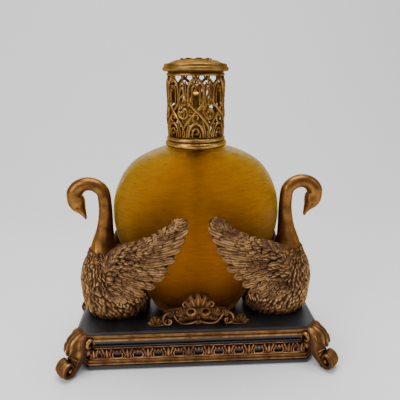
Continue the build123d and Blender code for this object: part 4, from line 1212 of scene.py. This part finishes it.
def make_cartouche():
    """Rocaille crest: cushions, a shell, fans, scrolls and a rimmed opening on each side."""
    sink = Sink()
    for x, rise, half_width, half_height, swell in CREST_DOMES:
        for side in (-1, 1) if x else (1,):
            add_dome(sink, side * x, rise, half_width, half_height, swell)
    for foot, tip, width in SHELL_LOBES:
        for side in (-1, 1) if tip[0] else (1,):
            add_crest_leaf(sink, (side * foot[0], foot[1]), (side * tip[0], tip[1]), width, 0.7)
    for side in (-1, 1):
        for middle, first, last, count, length, width in CREST_FANS:
            for k in range(count):
                a = math.radians(first + (last - first) * k / (count - 1))
                reach = length * RNG.uniform(0.9, 1.12)
                tip = (middle[0] + reach * math.cos(a), max(middle[1] + reach * math.sin(a), 0.9))
                add_crest_leaf(sink, (side * middle[0], middle[1]), (side * tip[0], tip[1]), width,
                               0.5 + 0.12 * k)
        for path, start, end in CREST_SCROLLS:
            curve = through(path, 5)
            points = [crest_point(side * x, max(rise, 1.0), 0.8 + 0.6 * math.sin(3 * i / len(curve)))
                      for i, (x, rise) in enumerate(curve)]
            add_tube(sink, points, np.linspace(start, end, len(points)), 10, relief=0.9)
        ring = [crest_point(side * (EYE_X + 3.1 * math.cos(t)), EYE_RISE + 2.9 * math.sin(t), 0.7)
                for t in round_circle(28)]
        add_tube(sink, ring, 1.15, 10, closed=True, relief=0.75)
        outer = [crest_point(side * (EYE_X + 0.8 + 4.8 * math.cos(t)),
                             EYE_RISE - 0.6 + 4.5 * math.sin(t), -0.1)
                 for t in round_circle(32)]
        add_tube(sink, outer, 1.3, 10, closed=True, relief=0.5)
    for k in range(5):
        a = math.radians(-150 + 30 * k)
        add_crest_leaf(sink, (0.0, 4.6), (3.0 * math.cos(a), max(4.6 + 3.8 * math.sin(a), 0.7)), 2.2, 0.9)
    bead = [crest_point(0.9 * math.cos(t), 7.2 + 0.9 * math.sin(t), 1.2)
            for t in round_circle(14)]
    add_tube(sink, bead, 0.5, 8, closed=True, relief=0.85)
    sink.build("cartouche_rocaille", DULL_GOLD, "stand", ["cartouche"], "antique_gold_resin")


# ---------------------------------------------------------------- crown, burner and snuffer
RING_LO, RING_HI = box_mm("crown_ring")
SLEEVE_LO, SLEEVE_HI = box_mm("crown_filigree")
LID_RING_LO, LID_RING_HI = box_mm("crown_lid_ring")
LID_LO, LID_HI = box_mm("crown_lid")
ROSETTE_HI = top_corner("crown_rosette")
WIRE_R = SLEEVE_HI.x - 0.75   # radius of the cylinder that the filigree's wires lie on
MOTIFS = 7
MOTIF_HEIGHT = 34.0           # height that the wires below are drawn to
WIRE_SCALE = 1.3
PETALS = 9
MOTIF_TURN = math.radians(-2)  # of the first motif's middle from the front
FILIGREE_WIRES = [            # each wire's points in one motif (sideways, up), radius, how far it stands out
    ([(-4.3, 17.5), (-4.8, 22.0), (-4.7, 26.5), (-3.6, 30.2), (0.0, 32.4), (3.6, 30.2), (4.7, 26.5),
      (4.8, 22.0), (4.3, 17.5)], 0.78, 0.3),
    ([(-2.2, 18.5), (-2.5, 23.0), (-2.2, 27.2), (-0.9, 29.0), (0.3, 27.8), (-0.3, 26.4)], 0.55, 0.0),
    ([(2.2, 18.5), (2.5, 23.0), (2.2, 27.2), (0.9, 29.0)], 0.55, 0.0),
    ([(0.0, 34.4), (0.0, 32.2)], 0.95, 0.2),
    ([(-2.1, 34.2), (-1.5, 33.0), (0.0, 32.6), (1.5, 33.0), (2.1, 34.2)], 0.5, 0.3),
    ([(-4.5, 19.5), (-1.0, 16.4), (3.4, 12.2), (7.2, 7.6), (8.3, 4.6)], 0.8, 0.5),
    ([(4.5, 19.5), (1.2, 15.6), (-3.0, 11.6), (-6.8, 7.4), (-8.3, 4.6)], 0.8, -0.2),
    ([(-8.0, 19.4), (-10.4, 17.8), (-11.2, 14.8), (-10.0, 11.8), (-7.2, 11.0), (-5.2, 13.0), (-5.6, 15.6),
      (-7.6, 16.4), (-8.6, 14.8)], 0.68, 0.4),
    ([(-4.4, 20.0), (-6.2, 21.4), (-8.2, 20.6), (-8.0, 18.6), (-6.4, 18.6)], 0.6, 0.3),
    ([(4.4, 20.0), (6.2, 22.6), (8.4, 24.4), (8.6, 27.0), (7.0, 27.6), (6.4, 26.0)], 0.6, 0.3),
    ([(-4.6, 0.2), (-4.4, 3.8), (-2.8, 7.0), (0.0, 8.4), (2.8, 7.0), (4.4, 3.8), (4.6, 0.2)], 0.74, 0.2),
    ([(-2.2, 0.2), (-2.4, 3.0), (-1.0, 5.2), (0.8, 5.4), (1.6, 3.8), (0.6, 2.6)], 0.52, 0.2),
    ([(2.4, 0.2), (2.8, 2.2), (2.2, 3.6)], 0.5, 0.0),
    ([(8.15, 0.2), (7.4, 2.6), (8.15, 5.0), (8.9, 2.6), (8.15, 0.2)], 0.5, 0.1),
    ([(0.0, 8.4), (-1.9, 10.2), (-1.6, 12.6), (0.4, 13.2), (1.4, 11.8), (0.6, 10.6)], 0.55, 0.4),
    ([(8.15, 34.2), (7.8, 31.4), (8.6, 28.6), (8.15, 25.6), (7.4, 22.6), (8.4, 20.2)], 0.55, 0.0),
    ([(5.2, 9.6), (6.9, 11.8), (6.2, 14.4), (4.4, 14.6), (4.0, 13.0)], 0.52, 0.2),
    ([(5.6, 15.4), (6.0, 19.0), (5.8, 24.0), (6.6, 30.8)], 0.56, 0.1),
    ([(9.9, 18.6), (9.4, 23.0), (10.0, 27.4), (9.6, 31.2)], 0.56, 0.1),
    ([(7.0, 8.4), (8.15, 11.6), (8.9, 14.6), (8.15, 17.4)], 0.56, 0.2),
    ([(6.0, 0.2), (5.9, 3.6), (5.0, 6.6), (4.4, 10.4)], 0.54, 0.1),
    ([(10.3, 0.2), (10.4, 3.6), (11.2, 6.6), (11.9, 10.4)], 0.54, 0.1),
]
FILIGREE_BALLS = ((0.0, 32.4), (-8.6, 14.8), (8.15, 5.2), (-0.3, 26.4), (0.6, 2.6))
BALL_PROFILE = [(0.02, 1.0), (0.7, 0.75), (1.0, 0.0), (0.7, -0.75), (0.02, -1.0)]


def on_sleeve(motif, sideways, up, out):
    """Point on the crown's sleeve; the first motif faces the front."""
    a = 2 * math.pi * motif / MOTIFS - math.pi / 2 + MOTIF_TURN + sideways / WIRE_R
    r = WIRE_R + out
    z = SLEEVE_LO.z + up * (SLEEVE_HI.z - SLEEVE_LO.z) / MOTIF_HEIGHT
    return np.array((r * math.cos(a), r * math.sin(a), z))


def away_from_axis(p):
    return unit(np.array((p[0], p[1], 0.0)))


def make_filigree():
    """The crown's pierced sleeve, as wires and small balls on a cylinder."""
    sink = Sink()
    for motif in range(MOTIFS):
        for path, radius, out in FILIGREE_WIRES:
            curve = through(path, 5) if len(path) > 2 else np.array(path)
            middle = len(curve) / 2
            points = [on_sleeve(motif, s, up, out * math.sin(math.pi * min(1, (i + 0.5) / middle / 2)))
                      for i, (s, up) in enumerate(curve)]
            last = len(points) - 1
            taper = [WIRE_SCALE * radius * (0.8 + 0.2 * math.sin(math.pi * i / last))
                     for i in range(last + 1)]
            add_tube(sink, points, taper, 8, up=away_from_axis, relief=0.75)
        for s, up in FILIGREE_BALLS:
            ball = on_sleeve(motif, s, up, 0.4)
            add_lathe_at(sink, ball, away_from_axis(ball), BALL_PROFILE, 10, 0.9)
    sink.build("crown_filigree_wires", FILIGREE_BRASS, "crown", ["crown_filigree"], "antique_brass")


def make_crown_ring():
    """Two rounded beads with a sharp groove between them; the lower one flares out."""
    inner, outer, bottom, top = 16.9, RING_HI.x, RING_LO.z, RING_HI.z
    profile = [(inner, bottom), (outer - 1.6, bottom)]
    profile += arc((outer - 1.9, bottom + 1.9), 1.9, -80, 55, 14)
    profile += [(outer - 1.5, bottom + 3.7), (outer - 1.75, bottom + 4.0)]
    profile += arc((outer - 2.3, bottom + 5.2), 1.25, -65, 75, 12)
    profile += [(outer - 2.2, top - 0.25), (inner, top)]
    sink = Sink()
    add_lathe(sink, profile, 144)
    sink.build("crown_ring_beads", BRASS, "crown", ["crown_ring"], "antique_brass")


def make_crown_lid():
    """Lid ring, rolled rim in two beads, low dome and a mouth with a deeply scalloped lip."""
    inner, r, bottom = LID_RING_HI.x - 2.4, LID_RING_HI.x, LID_RING_LO.z
    ring = [(inner, bottom), (r - 0.7, bottom)] + arc((r - 0.6, bottom + 0.6), 0.6, -90, 0, 5)
    ring += [(r, bottom + 1.4), (r - 0.7, bottom + 1.8), (r - 0.8, bottom + 2.3), (r - 0.3, LID_RING_HI.z),
             (inner, LID_RING_HI.z)]
    sink = Sink()
    add_lathe(sink, ring, 128)
    sink.build("crown_lid_ring_spun", BRASS, "crown", ["crown_lid_ring"], "antique_brass")

    base, edge, top = LID_LO.z, LID_HI.x, LID_HI.z
    lid = [(inner + 0.2, base), (edge - 2.4, base)]
    lid += arc((edge - 1.5, base + 1.45), 1.5, -100, 50, 16)
    lid += [(edge - 0.95, base + 2.7)]
    lid += arc((edge - 2.35, base + 3.35), 1.35, -20, 105, 14)
    lid += [(edge - 3.4, base + 4.7), (16.4, base + 5.3), (14.6, top - 1.3), (12.9, top - 0.75),
            (11.5, top - 0.45), (10.4, top - 0.45)]
    mouth = len(lid) - 1
    lid += [(9.9, top - 1.4), (10.0, top - 2.0), (12.6, top - 2.6), (15.0, base + 3.6),
            (inner + 0.2, base + 1.6)]

    def scallop(i, a):
        wave = 0.5 - 0.5 * math.cos(PETALS * a)
        return (0.0, -0.5 * wave) if mouth - 1 <= i <= mouth + 1 else (0.0, 0.0)

    sink = Sink()
    add_lathe(sink, lid, 180, ripple=scallop)
    sink.build("crown_lid_spun", AGED_BRASS, "crown", ["crown_lid"], "antique_brass")

    def ruffle(i, a):
        wave = math.cos(PETALS * a)
        return (0.4 * wave, 0.3 * wave - 0.3) if i in (2, 3) else (0.3 * wave, 0.2 * wave - 0.3)

    # painted shade: the lip is coloured very dark to stand in for the shaded inside of the mouth
    lip = [(9.8, top - 2.2), (10.3, top - 1.3), (9.7, ROSETTE_HI.z), (9.0, ROSETTE_HI.z - 0.1),
           (7.8, top - 1.2), (7.6, top - 2.2)]
    sink = Sink()
    add_lathe(sink, lip, 180, ripple=ruffle)
    sink.build("crown_rosette_lip", MOUTH_SHADE_BRASS, "crown", ["crown_rosette"], "antique_brass")


COLLAR_BORE, COLLAR_LIP_R = 11.1, 8.1
PLUG_R, SEAT_R = 7.5, 5.25    # of the burner's mount: outside in the neck, and the hole for the stone


def make_collar_and_burner():
    lo, hi = box_mm("neck_collar")
    sink = Sink()
    collar = [(COLLAR_BORE, lo.z), (hi.x, lo.z), (hi.x, lo.z + 0.9), (hi.x - 0.4, lo.z + 1.2),
              (13.6, lo.z + 1.5), (13.2, lo.z + 2.2), (13.2, lo.z + 3.4), (12.9, lo.z + 3.6),
              (13.2, lo.z + 3.8), (13.2, hi.z - 0.4), (12.8, hi.z), (COLLAR_LIP_R, hi.z),
              (COLLAR_LIP_R, hi.z - 0.7), (COLLAR_BORE, hi.z - 0.7)]
    add_lathe(sink, collar, 128)
    sink.build("neck_collar_spun", BRASS, "bottle", ["neck_collar"], "antique_brass")

    lo, hi = box_mm("burner_mount")
    flange, bottom = hi.x, hi.z - 1.1
    sink = Sink()
    knurl = [(SEAT_R, lo.z), (PLUG_R, lo.z), (PLUG_R, bottom), (flange - 0.3, bottom), (flange, bottom + 0.3),
             (flange, hi.z - 0.4), (flange - 0.4, hi.z), (SEAT_R, hi.z)]
    add_lathe(sink, knurl, 160, ripple=lambda i, a: (0.12 * math.cos(40 * a) if i in (4, 5) else 0.0, 0.0))
    sink.build("burner_mount_knurled", BRASS, "burner", ["burner_mount"], "antique_brass")


def make_snuffer():
    lo, hi = box_mm("snuffer_cap")
    rim, cup = hi.x, hi.x - 0.5
    sink = Sink()
    profile = [(cup - 1.4, lo.z), (rim, lo.z), (rim, lo.z + 1.0), (rim - 0.4, lo.z + 1.5), (cup, lo.z + 1.9),
               (cup, lo.z + 4.4), (cup - 0.3, lo.z + 4.7), (cup, lo.z + 5.0), (cup, hi.z - 0.5),
               (cup - 0.3, hi.z), (0.02, hi.z), (0.02, hi.z - 1.6), (cup - 1.4, hi.z - 1.6)]
    add_lathe(sink, profile, 112)
    sink.build("snuffer_cap_spun", BRASS, "snuffer", ["snuffer_cap"], "antique_brass")

    lo, hi = box_mm("snuffer_post")
    bell = hi.x
    sink = Sink()
    turned = [(0.02, lo.z), (bell - 0.4, lo.z), (bell - 0.1, lo.z + 0.4), (bell, lo.z + 1.2),
              (bell - 0.4, lo.z + 1.6), (bell - 0.1, lo.z + 2.0), (bell - 0.1, lo.z + 4.5),
              (bell - 0.6, lo.z + 7.6), (bell - 1.7, lo.z + 10.4), (bell - 3.4, lo.z + 12.6),
              (bell - 4.7, lo.z + 13.6), (3.5, lo.z + 14.2), (3.2, lo.z + 14.8)]
    turned += arc((0.0, hi.z - 2.3), 4.0, -40, 90, 16, squeeze=0.575)[:-1] + [(0.02, hi.z)]
    add_lathe(sink, turned, 96)
    sink.build("snuffer_post_turned", FILIGREE_BRASS, "snuffer", ["snuffer_post"], "antique_brass")


# ---------------------------------------------------------------- finishes of the kept CAD nodes
KEPT_FINISHES = [
    (BLACK, ("bottom_board", "plinth_core", "cove_band", "top_plate")),
    (FELT, ("bottle_pad", "foot_felts")),
    (RUBBER, ("burner_gasket", "snuffer_seal")),
    (STONE, ("burner_stone",)),
    (CATALYST, ("catalyst_core",)),
    (COTTON, ("cotton_wick",)),
    (BRASS, ("wick_sleeve",)),
    (STEEL, ("base_screws", "swan_screws", "foot_pins", "cartouche_pins")),
]


def finish_kept_nodes():
    """Give every CAD node that stays in view its own procedural finish."""
    for material, names in KEPT_FINISHES:
        for node in (bpy.data.objects[name] for name in names):
            for slot in node.material_slots:
                slot.material = material
            if not node.material_slots:
                node.data.materials.append(material)


make_flask()
make_swans()
make_wings()
make_friezes()
make_mouldings()
make_feet()
make_cartouche()
make_filigree()
make_crown_ring()
make_crown_lid()
make_collar_and_burner()
make_snuffer()
finish_kept_nodes()


# ---------------------------------------------------------------- stage, light and camera
def make_stage():
    """Pale floor that curves up into a pale wall, painted darker towards the wall as shade; sizes in metres.
    """
    floor_z, front_y, wall_y, wall_height, radius, reach = CAD_BOX[0][2], -1.6, 0.75, 2.4, 0.5, 3.0
    outline = [(front_y, floor_z), (wall_y - radius, floor_z)]
    for i in range(1, 17):
        a = math.pi / 2 * i / 16
        outline.append((wall_y - radius + radius * math.sin(a), floor_z + radius * (1 - math.cos(a))))
    outline.append((wall_y, floor_z + wall_height))
    points = [(x, y, z) for x in (-reach, reach) for y, z in outline]
    count = len(outline)
    faces = [(i, i + 1, count + i + 1, count + i) for i in range(count - 1)]
    mesh = bpy.data.meshes.new("sweep")
    mesh.from_pydata(points, [], [tuple(reversed(f)) for f in faces])
    mesh.polygons.foreach_set("use_smooth", [True] * len(mesh.polygons))
    sweep = bpy.data.objects.new("sweep", mesh)
    bpy.context.scene.collection.objects.link(sweep)
    material, tree, shader = new_material("pale_paper")
    place = tree.nodes.new("ShaderNodeTexCoord")
    split = tree.nodes.new("ShaderNodeSeparateXYZ")
    tree.links.new(place.outputs["Object"], split.inputs[0])
    # painted shade: the paper's colour darkens from the front of the floor to the wall, as the light falls
    # off
    away = add_node(tree, "ShaderNodeMapRange", {"From Min": -0.2, "From Max": 0.3})
    tree.links.new(split.outputs["Y"], away.inputs["Value"])
    tree.links.new(mix_colour(tree, away.outputs["Result"], (0.97, 0.97, 0.97), (0.755, 0.755, 0.755)),
                   shader.inputs["Base Color"])
    shader.inputs["Roughness"].default_value = 0.85
    mesh.materials.append(material)


def add_area(name, place, target, size, power):
    lamp = bpy.data.lights.new(name, "AREA")
    lamp.shape = "RECTANGLE"
    lamp.size, lamp.size_y = size
    lamp.energy = power
    holder = bpy.data.objects.new(name, lamp)
    holder.location = place
    holder.rotation_euler = (Vector(target) - Vector(place)).to_track_quat("-Z", "Y").to_euler()
    bpy.context.scene.collection.objects.link(holder)


LAMPS = [                     # name, place and target in metres, size, power in watts
    ("ceiling_panel", (0.0, 0.05, 1.3), (0, 0, 0.1), (1.1, 0.8), 18.5),
    ("window_left", (-0.95, -0.75, 0.75), (0, 0, 0.12), (0.7, 0.9), 10.0),
    ("window_right", (1.1, -0.35, 0.6), (0, 0, 0.12), (0.5, 0.8), 2.0),
]


def make_light():
    world = bpy.data.worlds.new("room")
    bpy.context.scene.world = world
    world.use_nodes = True
    background = world.node_tree.nodes["Background"]
    background.inputs["Color"].default_value = (0.93, 0.95, 1.0, 1)
    background.inputs["Strength"].default_value = 0.32
    for lamp in LAMPS:
        add_area(*lamp)


CAMERA_PLACE = (-10.3, -261.5, 198.6)          # millimetres
CAMERA_YAW, CAMERA_PITCH, CAMERA_ROLL = 2.87, 17.80, 0.12      # degrees
CAMERA_LENS, SENSOR_WIDTH = 34.9, 36.0


def make_camera():
    data = bpy.data.cameras.new("camera")
    data.lens, data.sensor_width = CAMERA_LENS, SENSOR_WIDTH
    data.clip_start = 0.01
    camera = bpy.data.objects.new("camera", data)
    camera.location = Vector(CAMERA_PLACE) * MM
    camera.rotation_euler = (math.radians(90 - CAMERA_PITCH), math.radians(CAMERA_ROLL),
                             math.radians(-CAMERA_YAW))
    bpy.context.scene.collection.objects.link(camera)
    bpy.context.scene.camera = camera


make_stage()
make_light()
make_camera()
